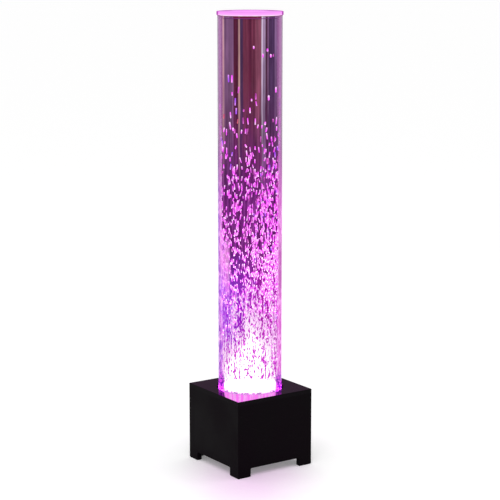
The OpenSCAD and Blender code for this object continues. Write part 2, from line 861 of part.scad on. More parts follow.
module rocker_housing() {
    color([0.07, 0.07, 0.08]) on_rear(0) difference() {
        union() {
            linear_extrude(bezel_t)
                round_rect(rocker_w + 2 * bezel_lip, rocker_h + 2 * bezel_lip, bezel_lip);
            translate([-rocker_w / 2, -rocker_h / 2, -rocker_depth])
                cube([rocker_w, rocker_h, rocker_depth]);
        }
        translate([-cave_w / 2, -cave_h / 2, -cave_d])
            cube([cave_w, cave_h, cave_d + bezel_t + over]);
        translate([0, 0, -pivot_depth]) rotate([90, 0, 0])
            cylinder(r = pin_r, h = pin_l, center = true);
    }
}

// At rest the rocker leans half its swing to one side, which is on
module rocker() {
    rocker_l = cave_h - 2 * moving_gap;
    color([0.10, 0.10, 0.11]) translate([0, pivot_y, control_z - rocker_l / 2])
        rotate([0, 0, -rocker_swing / 2]) linear_extrude(rocker_l) difference() {
            polygon([[-rocker_half, 0.4], [-rocker_half, 4.6], [0, 2.8], [rocker_half, 4.6],
                [rocker_half, 0.4], [3, -3.6], [-3, -3.6]]);
            circle(pin_r + shaft_fit);
        }
}

module rocker_pin() {
    color([0.75, 0.75, 0.78]) translate([0, pivot_y, control_z])
        cylinder(r = pin_r, h = pin_l, center = true);
}

module switch_tabs() {
    color([0.80, 0.70, 0.45]) on_rear(0) for (x = [-5, 0, 5])
        translate([x - tab_t / 2, -tab_w / 2, -rocker_depth - tab_l])
            cube([tab_t, tab_w, tab_l]);
}

module button_body() {
    color([0.75, 0.76, 0.78]) on_rear(control_pitch) difference() {
        union() {
            cylinder(r = button_r + button_lip, h = button_face);
            translate([0, 0, -button_depth]) cylinder(r = button_r, h = button_depth);
        }
        translate([0, 0, -button_floor])
            cylinder(r = plunger_r + moving_gap, h = button_floor + button_face + over);
    }
}

// The plunger is hollow below, round its spring
module mode_button() {
    color([0.88, 0.88, 0.90]) on_rear(control_pitch) translate([0, 0, -plunger_in]) difference() {
        cylinder(r = plunger_r, h = plunger_in + plunger_out);
        translate([0, 0, -over])
            cylinder(r = spring_r + spring_wire + moving_gap, h = plunger_pocket + over);
    }
}

module button_spring() {
    wire_r = spring_wire / 2;
    from = wire_r - button_floor;
    rise = plunger_pocket - plunger_in - wire_r - from;
    steps = 12 * spring_turns;
    coil = [for (i = [0 : steps]) let (a = 360 * i / 12)
        [spring_r * cos(a), spring_r * sin(a), from + rise * i / steps]];
    color([0.80, 0.80, 0.82]) on_rear(control_pitch) swept(coil, wire_r, 6,
        unit(coil[1] - coil[0]), unit(coil[steps] - coil[steps - 1]));
}

// Inside cables

module cable(route) {
    last = len(route) - 1;
    color([0.12, 0.12, 0.13]) swept(smooth(route, 5), cable_d / 2, 8,
        unit(route[1] - route[0]), unit(route[last] - route[last - 1]));
}

tube();
lid();
lid_gasket();
beads();
bead_screen();
screen_riser();
light_ring();
lamp_board();
lamps();
tube_socket();
socket_screws();
top_panel();
front_panel();
back_panel();
left_panel();
right_panel();
corner_blocks();
bottom_plate();
bottom_screws();
foot_pad(0);  // foot_pad_front_left
foot_pad(90);  // foot_pad_front_right
foot_pad(180);  // foot_pad_back_right
foot_pad(270);  // foot_pad_back_left
air_duct();
duct_screws();
fan_frame();
fan_rotor();
fan_shaft();
fan_magnet();
fan_stator();
fan_coils();
fan_bearings();
fan_screws();
fan_nuts();
control_board();
board_posts();
board_screws();
control_chips();
capacitors();
board_sockets();
control_plate();
plate_screws();
power_inlet();
inlet_pin();
inlet_nut();
rocker_housing();
rocker();
rocker_pin();
switch_tabs();
button_body();
button_nut();
mode_button();
button_spring();
cable(inlet_route);  // inlet_cable
cable(switch_route);  // switch_cable
cable(button_route);  // button_cable
cable(fan_route);  // fan_cable
cable(lamp_route);  // lamp_cable
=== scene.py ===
"""Dresses the sensory hurricane tube: its clear tube, flying beads, lit lid, black base and stage."""

import json
import math

import bpy
import numpy as np
from bpy.props import FloatProperty, FloatVectorProperty, IntProperty, PointerProperty
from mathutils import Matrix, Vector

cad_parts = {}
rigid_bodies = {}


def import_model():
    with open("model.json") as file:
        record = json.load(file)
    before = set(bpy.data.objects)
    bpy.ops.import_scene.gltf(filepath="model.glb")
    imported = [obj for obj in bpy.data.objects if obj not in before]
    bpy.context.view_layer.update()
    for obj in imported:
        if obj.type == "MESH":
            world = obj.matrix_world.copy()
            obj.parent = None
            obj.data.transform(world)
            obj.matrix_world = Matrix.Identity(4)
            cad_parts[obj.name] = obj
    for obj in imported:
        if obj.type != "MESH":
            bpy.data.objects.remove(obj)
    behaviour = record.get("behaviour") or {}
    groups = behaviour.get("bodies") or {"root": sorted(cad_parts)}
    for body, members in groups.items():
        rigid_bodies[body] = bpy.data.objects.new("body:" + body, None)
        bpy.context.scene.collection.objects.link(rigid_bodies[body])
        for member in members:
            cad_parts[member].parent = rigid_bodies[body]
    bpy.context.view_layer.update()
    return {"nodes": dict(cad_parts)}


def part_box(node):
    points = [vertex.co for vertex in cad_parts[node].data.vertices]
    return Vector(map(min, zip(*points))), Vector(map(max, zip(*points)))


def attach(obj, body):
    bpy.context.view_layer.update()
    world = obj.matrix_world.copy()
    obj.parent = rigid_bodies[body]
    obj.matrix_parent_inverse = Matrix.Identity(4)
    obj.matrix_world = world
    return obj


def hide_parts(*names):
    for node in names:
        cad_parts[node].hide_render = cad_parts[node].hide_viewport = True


bl_info = {
    "name": "Sensory hurricane tube",
    "version": (1, 0, 0),
    "blender": (4, 5, 0),
    "location": "3D View > Sidebar > Hurricane Tube",
    "description": "Dresses the hurricane tube's solids with light, beads and finishes",
    "category": "Object",
}

for leftover in list(bpy.data.objects):
    bpy.data.objects.remove(leftover)
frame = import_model()


def corners(node):
    """A node's lowest and highest corner as two arrays."""
    low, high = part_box(node)
    return np.array(low), np.array(high)


BEADS_LOW, BEADS_HIGH = corners("beads")
LID_LOW, LID_HIGH = corners("lid")
BASE_HALF, _, BASE_TOP = corners("top_panel")[1]
TUBE_R, _, TUBE_TOP = corners("tube")[1]
TUBE_WALL = 0.003
GLOW_FOOT = corners("bead_screen")[1][2] + 0.0005
GLOW_HEAD = LID_LOW[2] - 0.0015
LID_R, _, LID_TOP = LID_HIGH

# Heights in metres at which or between which the tube's look changes, mostly on the way down

BANDS_WAVER = (0.93, 0.76)
BANDS_GIVE_WAY = (0.82, 0.64)
VIOLET_WARMS = (0.54, 0.42)
GLOW_TOP = 0.455
HEART_TOP = 0.170
HEART_RISE = 0.120  # how much further up the white heart reaches in the middle
FOOT_LIT = (BASE_TOP + 0.006, BASE_TOP + 0.0015)
FOOT_RISE = 0.0315  # how much further up the bright foot reaches in the middle
WALL_TINT_NARROWS = (0.88, 0.76)
WALL_LIT = (0.80, 0.56)
WALL_GLINTS = (0.76, 0.62)
WALL_LEFT_HOT = (0.50, 0.42)
WALL_RIGHT_HOT = (0.46, 0.38)
WALL_LINE_WIDENS = (0.38, 0.33)
WALL_THICKENS = (0.7, 0.5)
WALL_EDGE_FILLS = (0.9, 0.7)
WALL_EDGE_CLOSES = (0.42, 0.36)
WALL_FOOT = (BASE_TOP + 0.051, BASE_TOP + 0.027)
WALL_FOOT_BRIGHT = (BASE_TOP + 0.020, BASE_TOP + 0.012)
WALL_END_BRIGHT = (BASE_TOP + 0.007, BASE_TOP + 0.005)
CROWD_TOP = (0.56, 0.52)
CROWD_FOOT = (0.40, 0.44)


# Colours

def rgb(red, green, blue):
    """A colour from 0 to 255 as light values."""
    c = np.array([red, green, blue]) / 255
    return tuple(float(v) for v in np.where(c <= 0.04045, c / 12.92, ((c + 0.055) / 1.055) ** 2.4))


# Colours of the painted reflections of the room in the tube's bands, from maroon to blush: the pale lavender
# is a painted highlight and the gold a painted reflected line.
MAROON = rgb(104, 42, 62)
DARK_MAROON = rgb(78, 20, 42)
ROSE = rgb(122, 64, 82)
LAVENDER = rgb(152, 128, 158)
LAVENDER_HIGHLIGHT = rgb(216, 200, 222)
GREY_PURPLE = rgb(114, 79, 113)
DEEP_PURPLE = rgb(110, 70, 112)
NIGHT_VIOLET = rgb(64, 42, 76)
DUSK = rgb(60, 26, 46)
HEATHER = rgb(118, 86, 126)
GOLD_GLINT = rgb(182, 142, 134)
BLUSH = rgb(205, 160, 165)
VIOLET = rgb(122, 58, 215)
PINK = rgb(240, 125, 245)
SOFT_PINK = rgb(255, 205, 255)
PINK_WHITE = rgb(255, 240, 255)
WHITE = (1.0, 1.0, 1.0)
UNDER_WHITE = (0.6, 0.6, 0.6)  # what a lit surface is painted under its own light
UNDER_LIGHT = (0.05, 0.02, 0.05)
UNDER_DEEP_LIGHT = (0.02, 0.01, 0.02)


# Meshes

def mesh_piece(name, points, triangles, body, smooth=False):
    """A piece of its own from arrays of points and triangles, which rides on a body."""
    mesh = bpy.data.meshes.new(name)
    mesh.vertices.add(len(points))
    mesh.vertices.foreach_set("co", np.asarray(points, np.float32).ravel())
    mesh.loops.add(triangles.size)
    mesh.loops.foreach_set("vertex_index", np.asarray(triangles, np.int32).ravel())
    mesh.polygons.add(len(triangles))
    mesh.polygons.foreach_set("loop_start", np.arange(0, triangles.size, 3, dtype=np.int32))
    mesh.polygons.foreach_set("use_smooth", np.full(len(triangles), smooth))
    mesh.update(calc_edges=True)
    piece = bpy.data.objects.new(name, mesh)
    bpy.context.scene.collection.objects.link(piece)
    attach(piece, body)
    return piece


def turned(radii, heights, sides):
    """A closed turned form: a point is its profile's radius times (cos u, sin u) at the profile's
    height, with u going once round, and a pole closes each end where the radius is nothing."""
    u = np.arange(sides) * 2 * math.pi / sides
    radii, heights = np.asarray(radii), np.asarray(heights)
    rings = np.stack([np.outer(radii, np.cos(u)), np.outer(radii, np.sin(u)),
                      np.repeat(heights[:, None], sides, 1)], -1)
    points = np.concatenate([rings.reshape(-1, 3), [[0, 0, heights[0]], [0, 0, heights[-1]]]])
    i = np.arange(sides)
    j = (i + 1) % sides
    k = np.arange(len(radii) - 1)[:, None] * sides
    a, b, c, d = k + i, k + j, k + sides + j, k + sides + i
    walls = [np.stack(corner, -1).reshape(-1, 3) for corner in ([a, b, c], [a, c, d])]
    last = (len(radii) - 1) * sides
    foot = np.stack([j, i, np.full(sides, len(points) - 2)], -1)
    head = np.stack([last + i, last + j, np.full(sides, len(points) - 1)], -1)
    return points, np.concatenate([*walls, foot, head])


# Node trees

class Finish:
    """One material, or the world. Each call adds a node and gives back the socket that comes out
    of it."""

    def __init__(self, name, shelf="materials"):
        self.owner = getattr(bpy.data, shelf).new(name)
        self.owner.use_nodes = True
        self.tree = self.owner.node_tree
        self.tree.nodes.clear()

    def add(self, kind, inputs=None, output=0, **settings):
        node = self.tree.nodes.new(kind)
        for key, value in settings.items():
            setattr(node, key, value)
        for key, value in (inputs or {}).items():
            self.feed(node.inputs[key], value)
        return node.outputs[output]

    def feed(self, socket, value):
        if isinstance(value, bpy.types.NodeSocket):
            self.tree.links.new(value, socket)
        elif socket.type == "RGBA" and len(value) == 3:
            socket.default_value = (*value, 1)
        else:
            socket.default_value = value

    def place(self, scale=(1, 1, 1), turn=0.0):
        """The point on the object, scaled, and turned about the upright axis."""
        where = self.add("ShaderNodeTexCoord", output="Object")
        return self.add("ShaderNodeMapping", {"Vector": where, "Scale": scale, "Rotation": (0, 0, turn)})

    def split(self, vector):
        node = self.add("ShaderNodeSeparateXYZ", {"Vector": vector}).node
        return node.outputs[0], node.outputs[1], node.outputs[2]

    def math(self, operation, first, *others):
        """An operation on one value, or on two or more from the left."""
        if not others:
            return self.add("ShaderNodeMath", {0: first}, operation=operation)
        for other in others:
            first = self.add("ShaderNodeMath", {0: first, 1: other}, operation=operation)
        return first

    def times(self, *values):
        return self.math("MULTIPLY", *values)

    def most(self, *values):
        return self.math("MAXIMUM", *values)

    def distance(self, x, y):
        """The square root of x squared plus y squared."""
        return self.math("SQRT", self.math("ADD", self.times(x, x), self.times(y, y)))

    def share(self, value, start, end):
        """Goes evenly from 0 to 1 as value goes from start to end."""
        return self.add("ShaderNodeMapRange", {"Value": value, "From Min": start, "From Max": end})

    def fade(self, value, start, end, low=0.0, high=1.0):
        """Goes smoothly from low to high as value goes from start to end."""
        ends = {"Value": value, "From Min": start, "From Max": end, "To Min": low, "To Max": high}
        return self.add("ShaderNodeMapRange", ends, interpolation_type="SMOOTHSTEP")

    def noise(self, grain, detail=2.0, roughness=0.5):
        """A cloudy value. grain says how many clouds there are to a metre along each axis."""
        return self.add("ShaderNodeTexNoise", {"Vector": self.place(grain), "Scale": 1.0, "Detail": detail,
                                               "Roughness": roughness})

    def mix(self, share, a, b, blend="MIX"):
        return self.add("ShaderNodeMix", {0: share, 6: a, 7: b}, output=2, data_type="RGBA", blend_type=blend)

    def ramp(self, value, stops):
        """Colours along a value: stops are (place, colour), in rising order."""
        socket = self.add("ShaderNodeValToRGB", {0: value})
        band = socket.node.color_ramp
        while len(band.elements) < len(stops):
            band.elements.new(1.0)
        for element, (position, colour) in zip(band.elements, stops):
            element.position = position
            element.color = (*colour, 1)
        return socket

    def bump(self, height, strength, distance):
        return self.add("ShaderNodeBump", {"Height": height, "Strength": strength, "Distance": distance})

    def surface(self, **inputs):
        """The plain shader. An input's name is its socket's, with _ for a space."""
        return self.add("ShaderNodeBsdfPrincipled",
                        {key.replace("_", " "): value for key, value in inputs.items()})

    def done(self, shader, output="ShaderNodeOutputMaterial"):
        end = self.tree.nodes.new(output)
        self.tree.links.new(shader, end.inputs["Surface"])
        return self.owner


def dress(node, material):
    """Gives a solid from the frame its finish."""
    data = frame["nodes"][node].data
    data.materials.clear()
    data.materials.append(material)


def paint(piece, material):
    piece.data.materials.append(material)


# Sizes and colours that a user would change

def a_colour(name, description, default):
    return FloatVectorProperty(name=name, description=description, default=default, subtype="COLOR",
                               min=0, max=1)


def a_length(name, description, default, **limits):
    return FloatProperty(name=name, description=description, default=default, subtype="DISTANCE", **limits)


def an_angle(name, description, degrees):
    return FloatProperty(name=name, description=description, default=math.radians(degrees), subtype="ANGLE")


class TubeSettings(bpy.types.PropertyGroup):
    front: an_angle("Front", "Way that the pattern of bands faces, round the upright axis", -124.5)
    column_radius: a_length("Glow radius", "Radius of the glow that the beads fly round", 0.0662,
                            min=0.03, max=0.067)
    # The wall's edge and rim colours are painted as its own light; the lid's colours are its painted glow and
    # a painted darker outline.
    edge_tint: a_colour("Edge tint", "Colour of the wall where it is seen edge on", rgb(143, 82, 139))
    rim_tint: a_colour("Rim tint", "Colour of the wall's very edge", rgb(92, 26, 96))
    lid_pink: a_colour("Lid pink", "Colour of the lid's glow", rgb(252, 158, 254))
    lid_rim: a_colour("Lid rim", "Colour of the lid's outline", rgb(172, 50, 172))


class BeadSettings(bpy.types.PropertyGroup):
    count: IntProperty(name="Places", description="Places in the air for beads, before they are thinned",
                       default=19500, min=500, max=26000)
    length: a_length("Length", "Length of a bead's streak", 0.0130, min=0.004, max=0.02)
    width: a_length("Width", "Width of a bead's streak", 0.0040, min=0.001, max=0.005)
    tilt: an_angle("Tilt", "How far the streaks lean either way", 8)
    seed: IntProperty(name="Seed", description="Seed of the beads' places", default=11)
    glow: FloatProperty(name="Glow", description="Strength of the beads' light", default=1.14, min=0)


class BaseSettings(bpy.types.PropertyGroup):
    top: a_colour("Top", "Colour of the glossy top", rgb(58, 48, 58))
    side: a_colour("Side", "Colour of the satin sides", rgb(8, 3, 7))
    gloss: FloatProperty(name="Gloss", description="Roughness of the glossy top", default=0.05, min=0, max=1)


class StageSettings(bpy.types.PropertyGroup):
    turn: an_angle("Turn", "Camera's place round the tube", -34.5)
    distance: a_length("Distance", "Camera's distance from the tube's axis", 3.7754)
    height: a_length("Height", "Camera's height", 1.2161)
    pitch: an_angle("Pitch", "How far the camera looks down", 10.531)
    lens: FloatProperty(name="Lens", description="Focal length in millimetres", default=117.78, min=10)
    floor: a_colour("Floor", "Colour of the floor", (0.92, 0.92, 0.92))
    floor_glow: a_colour("Floor glow", "Colour of the light on the floor", rgb(244, 204, 243))


# Finishes

def around(f, turn):
    """The angle round the tube in radians, which goes from -90 degrees at the left edge over 0 at
    the front to 90 at the right and the same way behind, and the height."""
    x, y, z = f.split(f.place(turn=-turn))
    return f.math("ARCTAN2", y, f.math("ABSOLUTE", x)), z


# The bands are painted reflections of the room in the tube, with a painted highlight and a painted gold line
# among them.
REFLECTION_BANDS = [  # degrees from the front where each band starts, and its colour
    (-90, DEEP_PURPLE), (-75, BLUSH), (-63.2, GREY_PURPLE), (-34.3, DARK_MAROON),
    (-23.5, GOLD_GLINT), (-20.1, NIGHT_VIOLET), (-14, MAROON), (-2.7, DARK_MAROON),
    (2.4, MAROON), (10.7, ROSE), (23.1, LAVENDER_HIGHLIGHT), (26.1, LAVENDER),
    (32.0, DUSK), (36.4, GREY_PURPLE), (40.2, NIGHT_VIOLET), (58, HEATHER)]


def band_stops(bands, soft=0.9):
    """Two stops at each border, soft degrees to either side, so that the bands have soft edges."""
    stops = [(0.0, bands[0][1])]
    for (_, before), (start, after) in zip(bands, bands[1:]):
        stops += [((start + 90 - soft) / 180, before), ((start + 90 + soft) / 180, after)]
    return stops


def painted_room_reflections(f, angle, z):
    """Painted reflections of the room, which stand for what is dimly seen through the tube: upright
    bands with painted streaks and smudges, which waver and darken lower down. The angle goes from
    -90 degrees at the left edge to 90 at the right."""
    painted_streaks = f.ramp(f.noise((210, 210, 4), 3.0, 0.6),
                    [(0.32, (0.13, 0.12, 0.13)), (0.68, (0.84, 0.82, 0.84))])
    smudges = f.ramp(f.noise((46, 46, 11), 3.0, 0.6),
                     [(0.3, (0.28, 0.26, 0.3)), (0.7, (0.74, 0.74, 0.74))])
    lower = f.fade(z, *BANDS_WAVER)
    waver = f.times(f.math("SUBTRACT", f.noise((60, 60, 10)), 0.5), lower, 0.05)
    across = f.math("ADD", f.share(angle, -math.pi / 2, math.pi / 2), waver)
    bands = f.mix(f.times(lower, 0.6), f.ramp(across, band_stops(REFLECTION_BANDS)), rgb(88, 34, 84))
    bands = f.mix(f.fade(lower, 0.0, 1.0, 0.55, 0.95), bands, painted_streaks, "OVERLAY")
    return f.mix(0.5, bands, smudges, "OVERLAY")


def from_above(f, radius):
    """The light far down in the tube, painted on the glow's top as a bright middle for a view from above."""
    x, y, _ = f.split(f.place())
    return f.ramp(f.math("DIVIDE", f.distance(x, y), radius),
                  [(0.0, rgb(250, 214, 252)), (0.25, rgb(226, 130, 230)), (0.6, rgb(146, 62, 150)),
                   (1.0, rgb(84, 34, 86))])


def painted_bands_and_glow(f, mirrored, z, level, side):
    """The painted room reflections, which further down give way to painted veils of purple light and
    then to painted violet light on the left and magenta light on the right."""
    veil = f.ramp(f.noise((95, 95, 9), 3.0, 0.6),
                  [(0.34, rgb(64, 2, 72)), (0.5, rgb(98, 10, 106)), (0.68, rgb(148, 56, 156))])
    painted_bands = f.mix(f.fade(z, *BANDS_GIVE_WAY, 0.0, 0.87), painted_room_reflections(f, mirrored, z), veil)
    warm = f.mix(side, rgb(138, 44, 198), rgb(150, 16, 150))
    return f.mix(f.fade(level, *VIOLET_WARMS), painted_bands, warm)


def glow_column_finish(settings):
    """A column painted with the light and shade seen in the tube: the painted room reflections and
    what they give way to. From there to the foot a painted glow takes over, pink and then white,
    with painted sparks in it. The dark between the beads is painted as specks of shade in upright
    strings, fewer towards the white heart at the foot and in the middle, and painted violet light
    lies over them on the left. The foot itself is a painted bright ring. From above, with the lid
    off, the light far down is painted as a bright middle."""
    f = Finish("glow_column")
    mirrored, z = around(f, settings.front)
    side = f.fade(mirrored, -0.75, 0.55)
    level = f.math("ADD", z, f.times(f.math("SUBTRACT", f.noise((18, 18, 9)), 0.5), 0.12))
    painted_bands = painted_bands_and_glow(f, mirrored, z, level, side)
    toward = f.math("COSINE", mirrored)
    facing = f.math("POWER", toward, 3.0)
    heat = f.share(level, GLOW_TOP, f.math("ADD", HEART_TOP, f.times(facing, HEART_RISE)))
    strings = f.noise((170, 170, 9), 1.0)
    specks = f.math("ADD", f.times(f.noise((345, 345, 130), 1.0), 0.6), f.times(strings, 0.4))
    limit = f.math("ADD", f.fade(heat, 0.0, 0.16, 0.42, 0.488), f.times(f.math("POWER", heat, 1.5), 0.030),
                   f.times(facing, heat, 0.020))
    # Painted shade: the dark specks between the beads.
    dark = f.fade(f.math("SUBTRACT", specks, limit), -0.007, 0.007)
    dark = f.most(dark, f.fade(heat, 0.05, 0.0))
    light = f.ramp(heat, [(0.0, rgb(222, 96, 236)), (0.32, rgb(240, 128, 244)), (0.55, rgb(252, 184, 252)),
                          (0.8, PINK_WHITE), (0.95, WHITE)])
    sparks = f.fade(f.noise((420, 420, 170), 1.0), 0.506, 0.526)
    light = f.mix(f.times(sparks, f.fade(heat, 0.02, 0.2, 0.0, 0.85)), light, PINK_WHITE)
    painted_speck_colour = f.mix(side, rgb(148, 18, 200), rgb(170, 8, 170))
    painted_speck_colour = f.mix(f.fade(heat, 0.45, 0.85), painted_speck_colour, rgb(208, 52, 208))
    lit = f.mix(dark, light, f.mix(f.fade(heat, 0.0, 0.22), painted_bands, painted_speck_colour))
    violet = f.times(f.fade(mirrored, -0.5, -0.95), f.fade(heat, 0.72, 0.4, 0.0, 0.5),
                     f.fade(heat, 0.02, 0.15))
    lit = f.mix(violet, lit, rgb(172, 62, 236))
    foot = f.fade(f.math("SUBTRACT", z, f.times(f.most(toward, 0.3), FOOT_RISE)), *FOOT_LIT)
    lit = f.mix(foot, lit, f.mix(f.fade(strings, 0.42, 0.58), rgb(255, 140, 250), rgb(255, 200, 255)))
    on_top = f.math("GREATER_THAN", z, GLOW_HEAD - 0.0003)
    lit = f.mix(on_top, lit, from_above(f, settings.column_radius))
    white_hot = f.times(f.fade(heat, 0.75, 1.0, 0.0, 0.5), f.math("SUBTRACT", 1.0, dark))
    strength = f.math("ADD", 1.0, white_hot, f.times(foot, 2.7))
    return f.done(f.surface(Base_Color=UNDER_DEEP_LIGHT, Roughness=0.6, Specular_IOR_Level=0.0,
                            Emission_Color=lit, Emission_Strength=strength))


def painted_wall_glow(f, edge, mirrored, z, crowd):
    """The wall low down, painted with glow: pink with painted violet streaks, more of them on the
    left, hotter further down, with a deep line near the edge, painted glints of beads mirrored in
    the wall, and painted dusky shade on the right side where the beads crowd."""
    side = f.fade(mirrored, -1.0, 1.0)
    painted_streaks = f.fade(f.noise((75, 75, 15)), 0.44, 0.56)
    left = f.mix(f.fade(z, *WALL_LEFT_HOT), f.mix(painted_streaks, rgb(200, 96, 216), rgb(236, 134, 230)),
                 f.mix(painted_streaks, rgb(166, 70, 236), rgb(234, 124, 244)))
    right = f.mix(f.fade(z, *WALL_RIGHT_HOT), f.mix(painted_streaks, rgb(206, 92, 196), rgb(238, 144, 232)),
                  f.mix(painted_streaks, rgb(240, 104, 230), rgb(255, 150, 248)))
    wider = f.most(f.times(side, 0.05), f.fade(z, *WALL_LINE_WIDENS, 0.0, 0.05))
    line = f.fade(f.math("ADD", edge, wider), 0.66, 0.74)
    glow_colour = f.mix(line, f.mix(side, left, right), f.mix(side, rgb(132, 26, 182), rgb(204, 72, 194)))
    # Painted glints: beads mirrored in the wall.
    glints = f.times(f.fade(f.noise((150, 150, 60), 1.0), 0.53, 0.58), f.fade(z, *WALL_GLINTS), 0.8)
    # Painted shade on the right, where the beads crowd.
    dusky = f.times(crowd, f.fade(edge, 0.56, 0.62), f.fade(mirrored, 0.8, 1.0, 0.0, 0.6))
    return f.mix(dusky, f.mix(glints, glow_colour, rgb(255, 190, 254)), rgb(160, 50, 150))


def clear_tube_finish(settings):
    """Clear acrylic: almost nothing is seen face on, and the colour deepens where it is seen edge on;
    this colour is painted as the wall's own light. Low down a painted glow lights it, with a broad
    strip at the left where the beads crowd, and at the foot it is thickly covered with painted
    patches of violet and pink glow, brighter still at the very foot."""
    f = Finish("clear_tube")
    mirrored, z = around(f, settings.front)
    edge = f.add("ShaderNodeLayerWeight", {"Blend": 0.5}, output="Facing")
    crowd = f.times(f.fade(z, *CROWD_TOP), f.fade(z, *CROWD_FOOT))
    at_foot = f.fade(z, *WALL_FOOT)
    glow_colour = f.mix(f.fade(edge, 0.54, 0.64), settings.edge_tint, rgb(172, 114, 172))
    glow_colour = f.mix(f.fade(edge, 0.69, 0.79), glow_colour, settings.rim_tint)
    glow_colour = f.mix(f.fade(z, *WALL_LIT), glow_colour, painted_wall_glow(f, edge, mirrored, z, crowd))
    # Painted patches of glow at the foot.
    glow_patches = f.fade(f.noise((120, 120, 300), 1.0), 0.49, 0.54)
    glow_colour = f.mix(at_foot, glow_colour, f.mix(glow_patches, rgb(104, 0, 160), rgb(232, 76, 240)))
    thin = f.math("SUBTRACT", edge, f.fade(z, *WALL_TINT_NARROWS, 0.0, 0.10))
    cover = f.most(
        f.times(f.fade(thin, 0.45, 0.52), f.fade(z, *WALL_THICKENS, 0.55, 0.75)),
        f.fade(edge, 0.74, 0.84, 0.0, 0.9),
        f.times(crowd, f.fade(mirrored, -0.5, -0.7), f.fade(edge, 0.22, 0.32, 0.0, 0.5)),
        f.times(f.fade(z, *WALL_EDGE_FILLS), f.fade(edge, 0.58, 0.68, 0.0, 0.86)),
        f.times(at_foot, f.fade(edge, 0.44, 0.54, 0.0, 0.95)),
        f.times(f.fade(z, *WALL_EDGE_CLOSES), f.fade(edge, 0.62, 0.70)))
    # The painted glow is brighter at the foot.
    strength = f.math("ADD", f.fade(z, *WALL_FOOT_BRIGHT, 1.0, 1.5), f.fade(z, *WALL_END_BRIGHT, 0.0, 2.4))
    wall = f.surface(Base_Color=UNDER_DEEP_LIGHT, Roughness=0.06, Specular_IOR_Level=0.03,
                     Emission_Color=glow_colour, Emission_Strength=strength)
    return f.done(f.add("ShaderNodeMixShader", {0: cover, 1: f.add("ShaderNodeBsdfTransparent"), 2: wall}))


def bead_finish(settings):
    """Each bead's painted glow, white hot at one end as a painted highlight, with a faint flicker."""
    f = Finish("lit_beads")
    colour = f.add("ShaderNodeAttribute", output="Color", attribute_name="bead_glow")
    flicker = f.noise((400, 400, 400), 1.0)
    strength = f.fade(flicker, 0.3, 0.7, 0.85 * settings.glow, 1.15 * settings.glow)
    return f.done(f.surface(Base_Color=UNDER_LIGHT, Roughness=0.3, Emission_Color=colour,
                            Emission_Strength=strength))


def lid_face_glow(f, x, y, settings):
    """The lid's face: a painted cloudy pink glow, with painted shade deeper towards the edge and most so at
    the back.
    """
    out = f.distance(x, y)
    deep = f.most(f.times(f.fade(out, 0.034, 0.056), f.fade(x, 0.03, -0.04, 0.15, 1.0)),
                  f.fade(out, LID_R - 0.003, LID_R - 0.0015, 0.0, 0.7))
    cloud = f.fade(f.noise((30, 30, 30)), 0.3, 0.75, 0.0, 0.16)
    return f.mix(cloud, f.mix(deep, settings.lid_pink, settings.lid_rim), WHITE)


def lid_rim_glow(f, z, settings):
    """The lid's rim: a painted pink glow, paler downwards, with a broken painted white highlight at
    its lower edge, and deep pink where it turns away."""
    broken = f.fade(f.noise((70, 70, 20)), 0.42, 0.56)
    rim = f.ramp(f.fade(z, TUBE_TOP, LID_TOP),
                 [(0.0, rgb(255, 214, 254)), (0.3, rgb(252, 176, 252)), (0.8, settings.lid_pink)])
    rim = f.mix(f.times(broken, f.fade(z, TUBE_TOP + 0.003, TUBE_TOP + 0.001)), rim, WHITE)
    edge = f.add("ShaderNodeLayerWeight", {"Blend": 0.5}, output="Facing")
    return f.mix(f.fade(edge, 0.64, 0.76), rim, settings.lid_rim)


def lid_step_reflections(f, y, z, radius):
    """The step that plugs the tube: the painted room reflections, with a dark red line."""
    across = f.math("DIVIDE", y, radius)
    angle = f.math("ARCSINE", f.math("MINIMUM", f.most(across, -1.0), 1.0))
    line = f.fade(f.math("ABSOLUTE", f.math("ADD", y, 0.006)), 0.034, 0.031, 0.0, 0.85)
    return f.mix(line, painted_room_reflections(f, angle, z), rgb(96, 2, 32))


def lid_finish(settings):
    """A painted pink glow in the lid, with colours of its own for its face, its rim and its step."""
    f = Finish("glowing_lid")
    x, y, z = f.split(f.place(turn=-settings.front))
    on_face = f.math("GREATER_THAN", z, LID_TOP - 0.0004)
    colour = f.mix(on_face, lid_rim_glow(f, z, settings), lid_face_glow(f, x, y, settings))
    on_step = f.fade(z, TUBE_TOP + 0.0006, TUBE_TOP + 0.0002)
    colour = f.mix(on_step, colour, lid_step_reflections(f, y, z, settings.column_radius))
    return f.done(f.surface(Base_Color=UNDER_LIGHT, Roughness=0.25, Specular_IOR_Level=0.0,
                            Emission_Color=colour, Emission_Strength=1.0))


def lit_finish(name, colour, second, strength, under=UNDER_WHITE, rough=0.5, grain=(60, 60, 60)):
    """A lamp's own light, or the painted glow of the clear ring that the lamps light, uneven from place to
    place.
    """
    f = Finish(name)
    glow_colour = f.mix(f.fade(f.noise(grain), 0.3, 0.7), colour, second)
    return f.done(f.surface(Base_Color=under, Roughness=rough,
                            Emission_Color=glow_colour, Emission_Strength=strength))


def screen_finish():
    """The lit screen: white, with its edge broken into magenta and pink dashes by the beads that
    lie against it."""
    f = Finish("lit_screen")
    x, y, _ = f.split(f.place())
    dashes = f.fade(f.noise((160, 160, 20), 1.0), 0.47, 0.50)
    edge = f.mix(dashes, rgb(84, 0, 74), rgb(255, 180, 250))
    face = f.mix(f.fade(f.noise((60, 60, 60)), 0.3, 0.7), WHITE, SOFT_PINK)
    glow_colour = f.mix(f.fade(f.distance(x, y), 0.0640, 0.0648), face, edge)
    return f.done(f.surface(Base_Color=UNDER_WHITE, Roughness=0.5,
                            Emission_Color=glow_colour, Emission_Strength=1.5))


